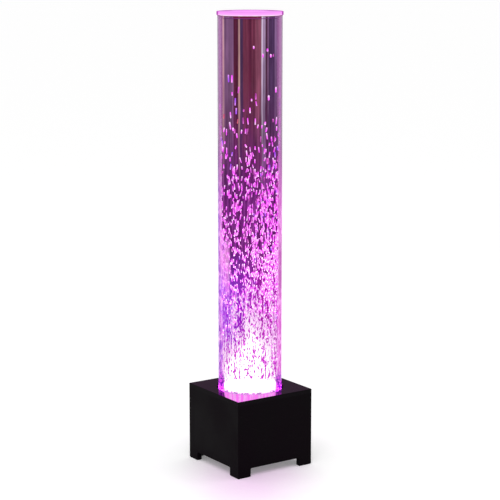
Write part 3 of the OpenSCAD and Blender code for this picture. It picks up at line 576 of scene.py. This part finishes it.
def gloss_black_finish(settings):
    """The lacquered top: black from above and nearly a mirror from low down, with a faint orange
    peel and dust-fine scratches. Its edges are painted satin like the sides."""
    f = Finish("gloss_black_top")
    x, y, z = f.split(f.place())
    out = f.most(f.math("ABSOLUTE", x), f.math("ABSOLUTE", y))
    side = f.most(f.math("GREATER_THAN", out, BASE_HALF - 0.0003),
                  f.math("LESS_THAN", z, BASE_TOP - 0.0006))
    peel = f.noise((60, 60, 60))
    scratches = f.noise((900, 40, 40))
    rough = f.fade(scratches, 0.45, 0.75, settings.gloss, settings.gloss + 0.04)
    tone = f.mix(f.fade(peel, 0.3, 0.7), settings.top, [0.8 * c for c in settings.top])
    # The top's colour and its pink specular tint put a painted pink cast into what it reflects.
    return f.done(f.surface(Base_Color=f.mix(side, tone, rgb(12, 10, 12)),
                            Metallic=f.math("SUBTRACT", 1.0, side),
                            Roughness=f.most(rough, f.times(side, 0.6)), Specular_IOR_Level=0.04,
                            Specular_Tint=(1.0, 0.80, 0.98), Normal=f.bump(peel, 0.015, 0.0006)))


def satin_finish(name, colour, rough=0.5, grain=(35, 35, 260), level=0.22):
    """Satin paint or plastic over a fine grain, a little worn and uneven in its sheen."""
    f = Finish(name)
    fine = f.noise(grain, 3.0, 0.6)
    cloud = f.noise((9, 9, 9), 3.0)
    tone = f.mix(f.fade(cloud, 0.3, 0.7), [0.8 * c for c in colour], [1.25 * c for c in colour])
    sheen = f.fade(cloud, 0.3, 0.7, rough - 0.06, rough + 0.08)
    return f.done(f.surface(Base_Color=tone, Roughness=sheen, Specular_IOR_Level=level,
                            Normal=f.bump(fine, 0.12, 0.0004)))


def metal_finish(name, colour, rough, grain=(900, 900, 40)):
    """Metal with drawn lines and small stains."""
    f = Finish(name)
    lines = f.noise(grain)
    tone = f.mix(f.fade(lines, 0.35, 0.65), colour, [0.7 * c for c in colour])
    sheen = f.fade(lines, 0.3, 0.7, rough, rough + 0.15)
    return f.done(f.surface(Base_Color=tone, Metallic=1.0, Roughness=sheen,
                            Normal=f.bump(lines, 0.06, 0.0003)))


def wood_finish(name, pale, dark):
    """Raw wood with grain along the upright axis."""
    f = Finish(name)
    rings = f.add("ShaderNodeTexWave", {"Vector": f.place((60, 60, 4)), "Scale": 1.0, "Distortion": 6.0,
                                        "Detail": 3.0})
    grain = f.noise((300, 300, 12), 3.0)
    tone = f.mix(rings, f.mix(f.fade(grain, 0.3, 0.7), pale, dark), dark)
    return f.done(f.surface(Base_Color=tone, Roughness=0.75, Normal=f.bump(grain, 0.2, 0.0005)))


def board_finish(name, colour, track):
    """A circuit board: tracks in squares under the lacquer."""
    f = Finish(name)
    tracks = f.add("ShaderNodeTexBrick", {"Vector": f.place((1, 1, 0)), "Scale": 60.0, "Mortar Size": 0.03,
                                          "Color1": colour, "Color2": colour, "Mortar": track})
    return f.done(f.surface(Base_Color=tracks, Roughness=0.35))


# Pieces

FLYERS = [  # the highest beads at the front: degrees from the front, height, length in mm and kind
    (7, 0.9912, 7, "hot"), (35, 0.9846, 7, "pink"), (25, 0.9726, 9, "pink"),
    (43, 0.9713, 8, "hot"), (50, 0.9723, 6, "rose"), (-45, 0.9198, 18, "violet"),
    (-36.5, 0.9194, 18, "pink"), (59, 0.8932, 13, "hot"), (-36, 0.8856, 9, "pink"),
    (-22, 0.8950, 16, "rose"), (38, 0.8762, 12, "hot"), (11, 0.8808, 15, "rose"),
    (-29, 0.8680, 18, "violet"), (3, 0.8728, 6, "hot"), (12, 0.8643, 11, "pink"),
    (-27, 0.8469, 15, "violet"), (0, 0.8491, 13, "hot"), (-40, 0.8368, 15, "hot"),
    (-12, 0.8490, 6, "rose"), (84, 0.8382, 8, "pink"), (-60, 0.8323, 11, "red"),
    (61, 0.8223, 18, "hot"), (50, 0.8234, 8, "rose"), (30, 0.8186, 8, "hot"),
    (-4, 0.8244, 16, "pink"), (10, 0.8237, 15, "hot"), (-13, 0.8257, 15, "rose"),
    (-24, 0.8238, 11, "red"), (15, 0.8126, 9, "hot"), (23, 0.8114, 8, "pink"),
    (-41, 0.8125, 18, "hot")]
FLYERS_FROM = 0.805  # above this height the front holds no other beads
# The beads' painted glow: the hot end is a painted highlight.
KINDS = {  # a bead's colour at its hot end and elsewhere
    "hot": (rgb(255, 216, 255), rgb(250, 86, 250)), "pink": (rgb(255, 158, 255), rgb(240, 48, 242)),
    "violet": (rgb(226, 140, 252), rgb(150, 56, 232)), "rose": (rgb(226, 96, 212), rgb(160, 34, 146)),
    "red": (rgb(226, 100, 112), rgb(176, 50, 90))}
KIND_SHARES = [0.38, 0.44, 0.04, 0.138, 0.002]

FLIGHT_FOOT = BEADS_LOW[2] + 0.034
FLIGHT_HEAD = BEADS_HIGH[2] - 0.012
BEAD_GAP = 0.0004  # metres between the glow and the innermost beads
WALL_GAP = 0.0005  # metres between the outermost beads and the wall
WIDTH_SPREAD = (0.75, 1.1)  # what a bead's width, length and light are multiplied by
LENGTH_SPREAD = (0.6, 1.4)
LIGHT_SPREAD = (0.82, 1.15)
MOST_LEAN = 0.6  # radians
TRAIL_PLACES = 9
TRAIL_PITCH = (0.012, 0.021)  # metres from place to place
TRAIL_DRIFT = 1.6  # radians for each metre that the trail rises
TRAIL_CURL = 7.0  # radians for each square metre
UPPER = 0.66  # the height from which the beads keep apart
TWINS = 0.2  # the share of the beads that get a twin
THIN_STRIP = (-0.32, 0.26)  # radians from the front, and the width, of the strip with fewer beads

# What changes with the height, as tables of height in metres: value

KEPT = {0.19: 0.01, 0.24: 0.02, 0.28: 0.03, 0.33: 0.04, 0.37: 0.10, 0.42: 0.28, 0.47: 0.56, 0.51: 0.58,
        0.56: 0.45, 0.60: 0.36, 0.65: 0.27, 0.70: 0.22, 0.76: 0.19, 0.80: 0.11, 0.84: 0.05, 0.90: 0.015,
        0.99: 0.006}
KEPT_LEFT = {0.40: 0.95, 0.47: 0.95, 0.55: 0.85, 0.62: 0.52, 0.80: 0.6}
KEPT_RIGHT = {0.50: 1.25, 0.62: 1.05}
STRIP_THINNED = {0.38: 0, 0.44: 0.7, 0.53: 0.7, 0.58: 0}
APART = {UPPER: 0.0, 0.76: 0.008}
LENGTHS = {0.25: 0.6, 0.45: 0.78, 0.70: 0.82, 0.85: 0.95}
WIDTHS = {0.45: 0.63, 0.60: 0.69, 0.75: 0.86, 0.9: 1.0}
# How the beads' painted glow and highlights change with the height.
PALER = {0.19: 0.5, 0.28: 0.25, 0.36: 0.05, 0.45: 0.0}
WHITER = {0.19: 0.9, 0.36: 0.65, 0.50: 0.45, 0.62: 0.0}
HOTTER = {0.50: 1.45, 0.65: 1.0}
DEEPEST = {0.50: 0.28, 0.62: 0.5, 0.72: 0.5, 0.73: 1.0}
RICHER = {0.50: 1.3, 0.70: 1.0}


def by_height(height, table):
    """The values of a table at these heights, on straight lines between its entries."""
    return np.interp(height, list(table), list(table.values()))


def half_turned(angle):
    """Angles brought to between half a turn back and half a turn on."""
    return np.mod(angle + math.pi, 2 * math.pi) - math.pi


def trails(settings, rng):
    """Places on upright trails that drift round the tube: angle = start + drift * rise + curl *
    rise squared. Gives the angle, the height and the slope = drift + 2 * curl * rise of each."""
    count = settings.count // TRAIL_PLACES
    start = rng.uniform(0, 2 * math.pi, count)
    low = rng.uniform(FLIGHT_FOOT - 0.12, FLIGHT_HEAD, count)
    pitch = rng.uniform(*TRAIL_PITCH, count)
    drift = rng.normal(0, TRAIL_DRIFT, count)
    curl = rng.normal(0, TRAIL_CURL, count)
    trail = np.repeat(np.arange(count), TRAIL_PLACES)
    rise = (np.tile(np.arange(TRAIL_PLACES), count) + rng.uniform(-0.45, 0.45, len(trail))) * pitch[trail]
    height = low[trail] + rise
    angle = start[trail] + drift[trail] * rise + curl[trail] * rise ** 2 + rng.normal(0, 0.02, len(rise))
    return angle, height, drift[trail] + 2 * curl[trail] * rise


def kept(angle, height, front, rng):
    """Which places hold a bead. Few fly high, more fly on the right, and half way up a strip left
    of the middle is thinned. High up at the front no place is kept, for the flyers listed one by one."""
    away = half_turned(angle - front)
    mirrored = np.arctan2(np.sin(away), np.abs(np.cos(away)))
    right = np.clip((mirrored + 0.75) / 1.4, 0, 1)  # 0 from -0.75 radians, 1 from 0.65
    at_left, at_right = by_height(height, KEPT_LEFT), by_height(height, KEPT_RIGHT)
    keep = by_height(height, KEPT) * (at_left + (at_right - at_left) * right)
    middle, width = THIN_STRIP
    strip = np.exp(-((mirrored - middle) / width) ** 2)
    keep = keep * (1 - by_height(height, STRIP_THINNED) * strip)
    open_front = (np.abs(away) > math.pi / 2) | (height < FLYERS_FROM)
    return (rng.random(len(keep)) < keep) & (height > FLIGHT_FOOT) & (height < FLIGHT_HEAD) & open_front


def crowded(angle, height):
    """Which upper beads come close to one before them, with heights counting for a little less."""
    upper = np.flatnonzero(height > UPPER)
    turn, up = angle[upper], height[upper]
    apart = np.hypot(half_turned(turn[:, None] - turn) * TUBE_R, (up[:, None] - up) * 0.6)
    close = np.zeros(len(angle), bool)
    close[upper] = np.tril(apart < by_height(up, APART), -1).any(1)
    return close


def flight(settings, rng):
    """Where the beads fly, as rows of angle, height, distance from the axis, lean, length and kind.
    The trails' places are thinned, some beads get a twin 1.05 widths to their side, and the flyers
    are added. A bead leans as its trail does, by the arctangent of slope * distance."""
    look = bpy.context.scene.tube_look
    angle, height, slope = trails(settings, rng)
    chosen = kept(angle, height, look.front, rng)
    angle, height, slope = angle[chosen], height[chosen], slope[chosen]
    close = crowded(angle, height)
    angle, height, slope = angle[~close], height[~close], slope[~close]
    twin = rng.random(len(angle)) < TWINS
    beside = np.where(rng.random(twin.sum()) < 0.5, -1, 1) * settings.width * 1.05 / TUBE_R
    angle = np.concatenate([angle, angle[twin] + beside])
    height = np.concatenate([height, height[twin] + rng.normal(0, 0.003, twin.sum())])
    slope = np.concatenate([slope, slope[twin]])
    count = len(angle)
    length = settings.length * rng.uniform(*LENGTH_SPREAD, count) * by_height(height, LENGTHS)
    widest = settings.width / 2 * WIDTH_SPREAD[1]
    inner = look.column_radius + BEAD_GAP + widest
    outer = TUBE_R - TUBE_WALL - WALL_GAP - widest
    radius = rng.uniform(inner, outer, count)
    lean = np.clip(np.arctan(slope * radius) + rng.normal(0, settings.tilt, count), -MOST_LEAN, MOST_LEAN)
    kind = rng.choice(len(KINDS), count, p=KIND_SHARES)
    names = list(KINDS)
    placed = [(math.radians(degrees) + look.front, up, (inner + outer) / 2, rng.normal(0, 0.1), mm / 1000,
               names.index(name)) for degrees, up, mm, name in FLYERS]
    return np.concatenate([np.stack([angle, height, radius, lean, length, kind], 1), placed])


def streak_form():
    """One six-sided streak with blunt ends, as points (across, outward, along) from -1 to 1 and
    triangles: poles at s = -1 and 1, and rings of six at s = -0.86, 0 and 0.86, where a point is
    (ring * sin u, ring * cos u, s) and ring is 0.85, 1 and 0.85."""
    s, ring = np.array([-0.86, 0.0, 0.86]), np.array([0.85, 1.0, 0.85])
    u = np.arange(6) * math.pi / 3
    rings = np.stack([np.outer(ring, np.sin(u)), np.outer(ring, np.cos(u)), np.repeat(s[:, None], 6, 1)], -1)
    form = np.concatenate([[[0, 0, -1]], rings.reshape(-1, 3), [[0, 0, 1]]])
    i = np.arange(6)
    j = (i + 1) % 6
    faces = [np.stack([np.zeros(6, int), 1 + i, 1 + j], 1)]
    for k in (1, 7):
        a, b, c, d = k + i, k + j, k + 6 + j, k + 6 + i
        faces += [np.stack([a, c, b], 1), np.stack([a, d, c], 1)]
    faces.append(np.stack([np.full(6, 19), 13 + j, 13 + i], 1))
    return form, np.concatenate(faces)


def streak_colours(form, height, kind, rng):
    """Each point's painted glow = elsewhere + (hot end - elsewhere) * hot, where hot, a painted
    highlight, grows with the cube of the nearness to the lit end, and a little to the outside and to
    one side. Low down the beads are paler, their hot ends are nearly white, and all have more red
    and blue. By chance a bead is deeper away from its hot end, most so in its green."""
    count = len(height)
    hot_end, elsewhere = (np.array(part)[kind.astype(int)] for part in zip(*KINDS.values()))
    whiter, paler = by_height(height, WHITER)[:, None], by_height(height, PALER)[:, None]
    hot_end, elsewhere = hot_end + (1 - hot_end) * whiter, elsewhere + (1 - elsewhere) * paler
    hot_end = hot_end * by_height(height, HOTTER)[:, None]
    lit_end = rng.choice([-1, 1], count)[:, None]
    near = 0.5 + 0.5 * form[None, :, 2] * lit_end
    hot = np.clip(1.6 * near ** 3.0 - 0.12 + 0.2 * form[None, :, 1] + 0.12 * form[None, :, 0], 0, 1)
    deeper = rng.uniform(by_height(height, DEEPEST), 1.0)[:, None]
    elsewhere = elsewhere * deeper ** np.array([[0.4, 2.6, 0.4]])
    colour = elsewhere[:, None] + (hot_end - elsewhere)[:, None] * hot[..., None]
    colour = colour * rng.uniform(*LIGHT_SPREAD, count)[:, None, None]
    colour[..., [0, 2]] *= by_height(height, RICHER)[:, None, None]
    return colour.reshape(-1, 3)


def streaks(settings):
    """Beads in flight: a point is the middle + along * s * half length + (across * the form's
    first + outward * its second) * half width."""
    rng = np.random.default_rng(settings.seed)
    angle, height, radius, lean, length, kind = flight(settings, rng).T
    count = len(angle)
    half_length = length / 2
    half_width = settings.width / 2 * rng.uniform(*WIDTH_SPREAD, count) * by_height(height, WIDTHS)
    up = np.array([[0, 0, 1.0]])
    outward = np.stack([np.cos(angle), np.sin(angle), np.zeros(count)], 1)
    sideways = np.stack([-np.sin(angle), np.cos(angle), np.zeros(count)], 1)
    along = np.cos(lean)[:, None] * up + np.sin(lean)[:, None] * sideways
    across = np.cross(along, outward)
    centre = outward * radius[:, None] + up * height[:, None]
    form, faces = streak_form()
    points = (centre[:, None] + across[:, None] * (form[None, :, :1] * half_width[:, None, None])
              + outward[:, None] * (form[None, :, 1:2] * half_width[:, None, None])
              + along[:, None] * (form[None, :, 2:] * half_length[:, None, None]))
    triangles = (faces[None] + (np.arange(count) * len(form))[:, None, None]).reshape(-1, 3)
    return points.reshape(-1, 3), triangles, streak_colours(form, height, kind, rng)


class HURRICANE_OT_beads(bpy.types.Operator):
    """Makes the flying beads as streaks of light in the tube's air"""

    bl_idname = "hurricane.beads"
    bl_label = "Beads"

    def execute(self, context):
        settings = context.scene.bead_look
        points, triangles, colour = streaks(settings)
        piece = mesh_piece("bead_streaks", points, triangles, "bead_cloud")
        shades = piece.data.attributes.new("bead_glow", "FLOAT_COLOR", "POINT")
        opaque = np.concatenate([colour, np.ones((len(colour), 1))], 1)
        shades.data.foreach_set("color", opaque.astype(np.float32).ravel())
        paint(piece, bead_finish(settings))
        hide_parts("beads")
        return {"FINISHED"}


class HURRICANE_OT_glow_column(bpy.types.Operator):
    """Makes a column painted with the glow and the room reflections seen in the tube, which the beads fly
    round
    """

    bl_idname = "hurricane.glow_column"
    bl_label = "Glow in the tube"

    def execute(self, context):
        settings = context.scene.tube_look
        r, rings, bevel = settings.column_radius, 60, 0.0005
        walls = np.linspace(GLOW_FOOT + bevel, GLOW_HEAD - bevel, rings)
        heights = np.concatenate([[GLOW_FOOT], walls, [GLOW_HEAD]])
        radii = np.concatenate([[r * 0.99], np.full(rings, r), [r * 0.99]])
        points, triangles = turned(radii, heights, sides=144)
        piece = mesh_piece("glow_column", points, triangles, "base", smooth=True)
        paint(piece, glow_column_finish(settings))
        return {"FINISHED"}


class HURRICANE_OT_tube(bpy.types.Operator):
    """Finishes the clear tube, its lid and the gasket between them"""

    bl_idname = "hurricane.tube"
    bl_label = "Tube and lid"

    def execute(self, context):
        settings = context.scene.tube_look
        dress("tube", clear_tube_finish(settings))
        dress("lid", lid_finish(settings))
        dress("lid_gasket", satin_finish("dark_gasket", rgb(110, 22, 44), 0.5))
        return {"FINISHED"}


class HURRICANE_OT_base(bpy.types.Operator):
    """Finishes the black base, its top, feet and bottom"""

    bl_idname = "hurricane.base"
    bl_label = "Base"

    def execute(self, context):
        settings = context.scene.base_look
        dress("top_panel", gloss_black_finish(settings))
        sides = satin_finish("satin_black_board", settings.side, 0.6, level=0.04)
        for side in ("front", "back", "left", "right"):
            dress(side + "_panel", sides)
        pads = satin_finish("foot_rubber", rgb(28, 28, 29), 0.8, (500, 500, 500))
        for corner in ("front_left", "front_right", "back_left", "back_right"):
            dress("foot_pad_" + corner, pads)
        dress("bottom_plate", satin_finish("black_bottom", rgb(24, 23, 24), 0.65))
        dress("corner_blocks", wood_finish("raw_wood", rgb(214, 180, 132), rgb(168, 122, 78)))
        return {"FINISHED"}


class HURRICANE_OT_light(bpy.types.Operator):
    """Finishes the screen, lamps and ring that light the tube from below, and their holders"""

    bl_idname = "hurricane.light"
    bl_label = "Light in the foot"

    def execute(self, context):
        dress("bead_screen", screen_finish())
        dress("lamps", lit_finish("lamp_faces", PINK, WHITE, 2.0))
        dress("light_ring", lit_finish("clear_ring", PINK, VIOLET, 0.9, (0.5, 0.4, 0.5), 0.1, (80, 80, 80)))
        dress("screen_riser", satin_finish("white_plastic", rgb(225, 222, 226), 0.45))
        dress("lamp_board", board_finish("white_board", rgb(228, 228, 226), rgb(196, 196, 190)))
        dress("tube_socket", satin_finish("black_plastic", rgb(20, 20, 22), 0.5, (500, 500, 500)))
        dress("socket_screws", metal_finish("steel_screws", rgb(178, 180, 184), 0.3))
        return {"FINISHED"}


class HURRICANE_OT_works(bpy.types.Operator):
    """Finishes the fan, the duct, the control board and the cables inside the base"""

    bl_idname = "hurricane.works"
    bl_label = "Fan and board"

    def execute(self, context):
        plastic = satin_finish("moulded_black", rgb(26, 26, 28), 0.45, (500, 500, 500))
        screws = metal_finish("zinc_screws", rgb(186, 188, 190), 0.28)
        for node in ("air_duct", "fan_frame"):
            dress(node, plastic)
        dress("fan_rotor", satin_finish("rotor_black", rgb(34, 34, 36), 0.4, (400, 400, 400)))
        for node in ("duct_screws", "fan_screws", "fan_nuts", "bottom_screws", "board_screws"):
            dress(node, screws)
        dress("fan_shaft", metal_finish("shaft_steel", rgb(200, 202, 206), 0.15))
        dress("fan_bearings", metal_finish("bearing_steel", rgb(190, 192, 196), 0.2))
        dress("fan_magnet", satin_finish("magnet", rgb(62, 60, 62), 0.6, (700, 700, 700)))
        dress("fan_stator", metal_finish("stator_steel", rgb(150, 152, 158), 0.4, (40, 40, 2400)))
        dress("fan_coils", metal_finish("copper_coils", rgb(196, 108, 62), 0.25, (60, 60, 2600)))
        dress("control_board", board_finish("green_board", rgb(22, 84, 44), rgb(60, 130, 72)))
        dress("board_posts", satin_finish("white_posts", rgb(222, 220, 214), 0.5))
        dress("control_chips", satin_finish("black_chips", rgb(22, 22, 24), 0.45, (900, 900, 900)))
        dress("capacitors", satin_finish("capacitor_cans", rgb(42, 48, 84), 0.3))
        dress("board_sockets", satin_finish("cream_plastic", rgb(232, 224, 206), 0.45))
        for node in ("inlet_cable", "switch_cable", "button_cable", "fan_cable", "lamp_cable"):
            dress(node, satin_finish(node + "_jacket", rgb(28, 28, 30), 0.5, (300, 300, 300)))
        return {"FINISHED"}


class HURRICANE_OT_controls(bpy.types.Operator):
    """Finishes the switch, the push button and the inlet at the back"""

    bl_idname = "hurricane.controls"
    bl_label = "Rear controls"

    def execute(self, context):
        dress("control_plate", satin_finish("plate_black", rgb(34, 34, 36), 0.42, (260, 260, 260)))
        dress("plate_screws", metal_finish("black_screws", rgb(60, 60, 62), 0.35))
        dress("power_inlet", satin_finish("inlet_black", rgb(22, 22, 24), 0.4, (500, 500, 500)))
        dress("inlet_pin", metal_finish("contact_brass", rgb(214, 186, 120), 0.2))
        dress("inlet_nut", metal_finish("nut_steel", rgb(186, 188, 192), 0.3))
        dress("rocker_housing", satin_finish("housing_black", rgb(20, 20, 22), 0.4, (500, 500, 500)))
        dress("rocker", satin_finish("rocker_black", rgb(38, 38, 40), 0.3, (600, 600, 600)))
        dress("rocker_pin", metal_finish("pin_steel", rgb(190, 192, 196), 0.2))
        dress("switch_tabs", metal_finish("tab_brass", rgb(206, 176, 110), 0.3))
        dress("button_body", metal_finish("button_metal", rgb(196, 198, 202), 0.22))
        dress("button_nut", metal_finish("button_nut_steel", rgb(186, 188, 192), 0.3))
        dress("mode_button", metal_finish("button_cap", rgb(214, 216, 220), 0.25))
        dress("button_spring", metal_finish("spring_steel", rgb(196, 198, 202), 0.2))
        return {"FINISHED"}


class HURRICANE_OT_stage(bpy.types.Operator):
    """Makes the floor, the light and the camera"""

    bl_idname = "hurricane.stage"
    bl_label = "Stage"

    def execute(self, context):
        settings = context.scene.stage_look
        floor = mesh_floor()
        floor.data.materials.append(floor_finish(settings))
        make_world()
        make_lamp("key", place=(-1.6, -1.9, 2.6), target=(0, 0, 0.5), size=1.4, watts=24)
        make_lamp("fill", place=(2.4, -1.2, 1.8), target=(0, 0, 0.4), size=1.6, watts=3)
        make_camera(settings)
        context.scene.view_settings.view_transform = "Standard"
        return {"FINISHED"}


def mesh_floor(reach=60.0):
    """A flat square floor, whose corners stand at plus and minus reach."""
    mesh = bpy.data.meshes.new("floor")
    corner_points = [(-reach, -reach, 0), (reach, -reach, 0), (reach, reach, 0), (-reach, reach, 0)]
    mesh.from_pydata(corner_points, [], [(0, 1, 2, 3)])
    floor = bpy.data.objects.new("floor", mesh)
    bpy.context.scene.collection.objects.link(floor)
    return floor


GLOW_AHEAD, GLOW_HALF_WIDTH, GLOW_REACH = 0.13, 0.20, 0.36


def floor_finish(settings):
    """A pale floor that keeps the shadow, with a painted pool of pink glow in an oval before the base,
    on the camera's side. Where the camera, a mirror or glass sees it, a plain lift brings it to
    white."""
    f = Finish("floor")
    x, y, _ = f.split(f.place())
    across, ahead = math.cos(settings.turn), math.sin(settings.turn)
    u = f.math("ADD", f.times(x, across), f.times(y, ahead))
    v = f.math("ADD", f.times(x, ahead), f.times(y, -across))
    u = f.math("DIVIDE", u, GLOW_HALF_WIDTH)
    v = f.math("DIVIDE", f.math("SUBTRACT", v, GLOW_AHEAD), GLOW_REACH)
    near = f.fade(f.distance(u, v), 0.1, 1.0, 1.0, 0.0)
    glow_patches = f.fade(f.noise((6, 6, 6)), 0.2, 0.8, 0.75, 1.0)
    # The colour of the painted pink glow on the floor.
    pink = [a * b for a, b in zip(settings.floor, settings.floor_glow)]
    lit = f.add("ShaderNodeBsdfDiffuse", {"Color": f.mix(f.times(near, glow_patches), settings.floor, pink)})
    lift = f.add("ShaderNodeEmission", {"Color": WHITE, "Strength": 0.20})
    bright = f.add("ShaderNodeAddShader", {0: lit, 1: lift})
    return f.done(f.add("ShaderNodeMixShader", {0: seen(f), 1: lit, 2: bright}))


def seen(f):
    """1 for rays from the camera, a mirror or glass."""
    rays = f.add("ShaderNodeLightPath").node.outputs
    return f.most(rays["Is Camera Ray"], rays["Is Glossy Ray"], rays["Is Transmission Ray"])


def make_world():
    """White all round and up to a little above the horizon, and a dim ceiling over it for what
    shines. Everything else gets plain soft light from every side."""
    f = Finish("studio", "worlds")
    _, _, up = f.split(f.add("ShaderNodeTexCoord", output="Generated"))
    sky = f.ramp(f.share(up, -1.0, 1.0),
                 [(0.0, WHITE), (0.54, WHITE), (0.60, rgb(104, 96, 104)), (1.0, rgb(120, 114, 120))])
    shown = f.add("ShaderNodeBackground", {"Color": sky, "Strength": 1.0})
    soft = f.add("ShaderNodeBackground", {"Color": WHITE, "Strength": 0.86})
    light = f.add("ShaderNodeMixShader", {0: seen(f), 1: soft, 2: shown})
    bpy.context.scene.world = f.done(light, "ShaderNodeOutputWorld")


def make_lamp(name, place, target, size, watts):
    """A square soft lamp that looks at a point."""
    light = bpy.data.lights.new(name, "AREA")
    light.size, light.energy = size, watts
    lamp = bpy.data.objects.new(name, light)
    bpy.context.scene.collection.objects.link(lamp)
    lamp.location = place
    way = np.array(target) - np.array(place)
    tilt = math.acos(-way[2] / np.linalg.norm(way))
    lamp.rotation_euler = (tilt, 0, math.atan2(way[1], way[0]) - math.pi / 2)


def make_camera(settings):
    """The camera stands round the tube at the photograph's angle and looks down a little."""
    data = bpy.data.cameras.new("camera")
    data.lens = settings.lens
    data.sensor_width = 36
    data.clip_end = 200
    camera = bpy.data.objects.new("camera", data)
    bpy.context.scene.collection.objects.link(camera)
    camera.location = (math.sin(settings.turn) * settings.distance,
                       -math.cos(settings.turn) * settings.distance, settings.height)
    camera.rotation_euler = (math.pi / 2 - settings.pitch, 0, settings.turn)
    bpy.context.scene.camera = camera


class HURRICANE_PT_panel(bpy.types.Panel):
    """Lists the pieces and what can be set on them"""

    bl_idname = "HURRICANE_PT_panel"
    bl_label = "Hurricane Tube"
    bl_space_type = "VIEW_3D"
    bl_region_type = "UI"
    bl_category = "Hurricane Tube"

    def draw(self, context):
        for group, names in LOOKS.items():
            look = getattr(context.scene, group)
            part = self.layout.box()
            for key in look.__annotations__:
                part.prop(look, key)
            for name in names:
                part.operator("hurricane." + name)


LOOKS = {
    "tube_look": ("tube", "glow_column"),
    "bead_look": ("beads",),
    "base_look": ("base", "light", "works", "controls"),
    "stage_look": ("stage",),
}
GROUPS = {"tube_look": TubeSettings, "bead_look": BeadSettings, "base_look": BaseSettings,
          "stage_look": StageSettings}
CLASSES = (*GROUPS.values(), HURRICANE_OT_beads, HURRICANE_OT_glow_column, HURRICANE_OT_tube,
           HURRICANE_OT_base, HURRICANE_OT_light, HURRICANE_OT_works, HURRICANE_OT_controls,
           HURRICANE_OT_stage, HURRICANE_PT_panel)


def register():
    for each in CLASSES:
        bpy.utils.register_class(each)
    for name, group in GROUPS.items():
        setattr(bpy.types.Scene, name, PointerProperty(type=group))


def unregister():
    for name in GROUPS:
        delattr(bpy.types.Scene, name)
    for each in reversed(CLASSES):
        bpy.utils.unregister_class(each)


def main():
    register()
    bpy.ops.hurricane.tube()
    bpy.ops.hurricane.glow_column()
    bpy.ops.hurricane.beads()
    bpy.ops.hurricane.base()
    bpy.ops.hurricane.light()
    bpy.ops.hurricane.works()
    bpy.ops.hurricane.controls()
    bpy.ops.hurricane.stage()


if __name__ == "__main__":
    main()
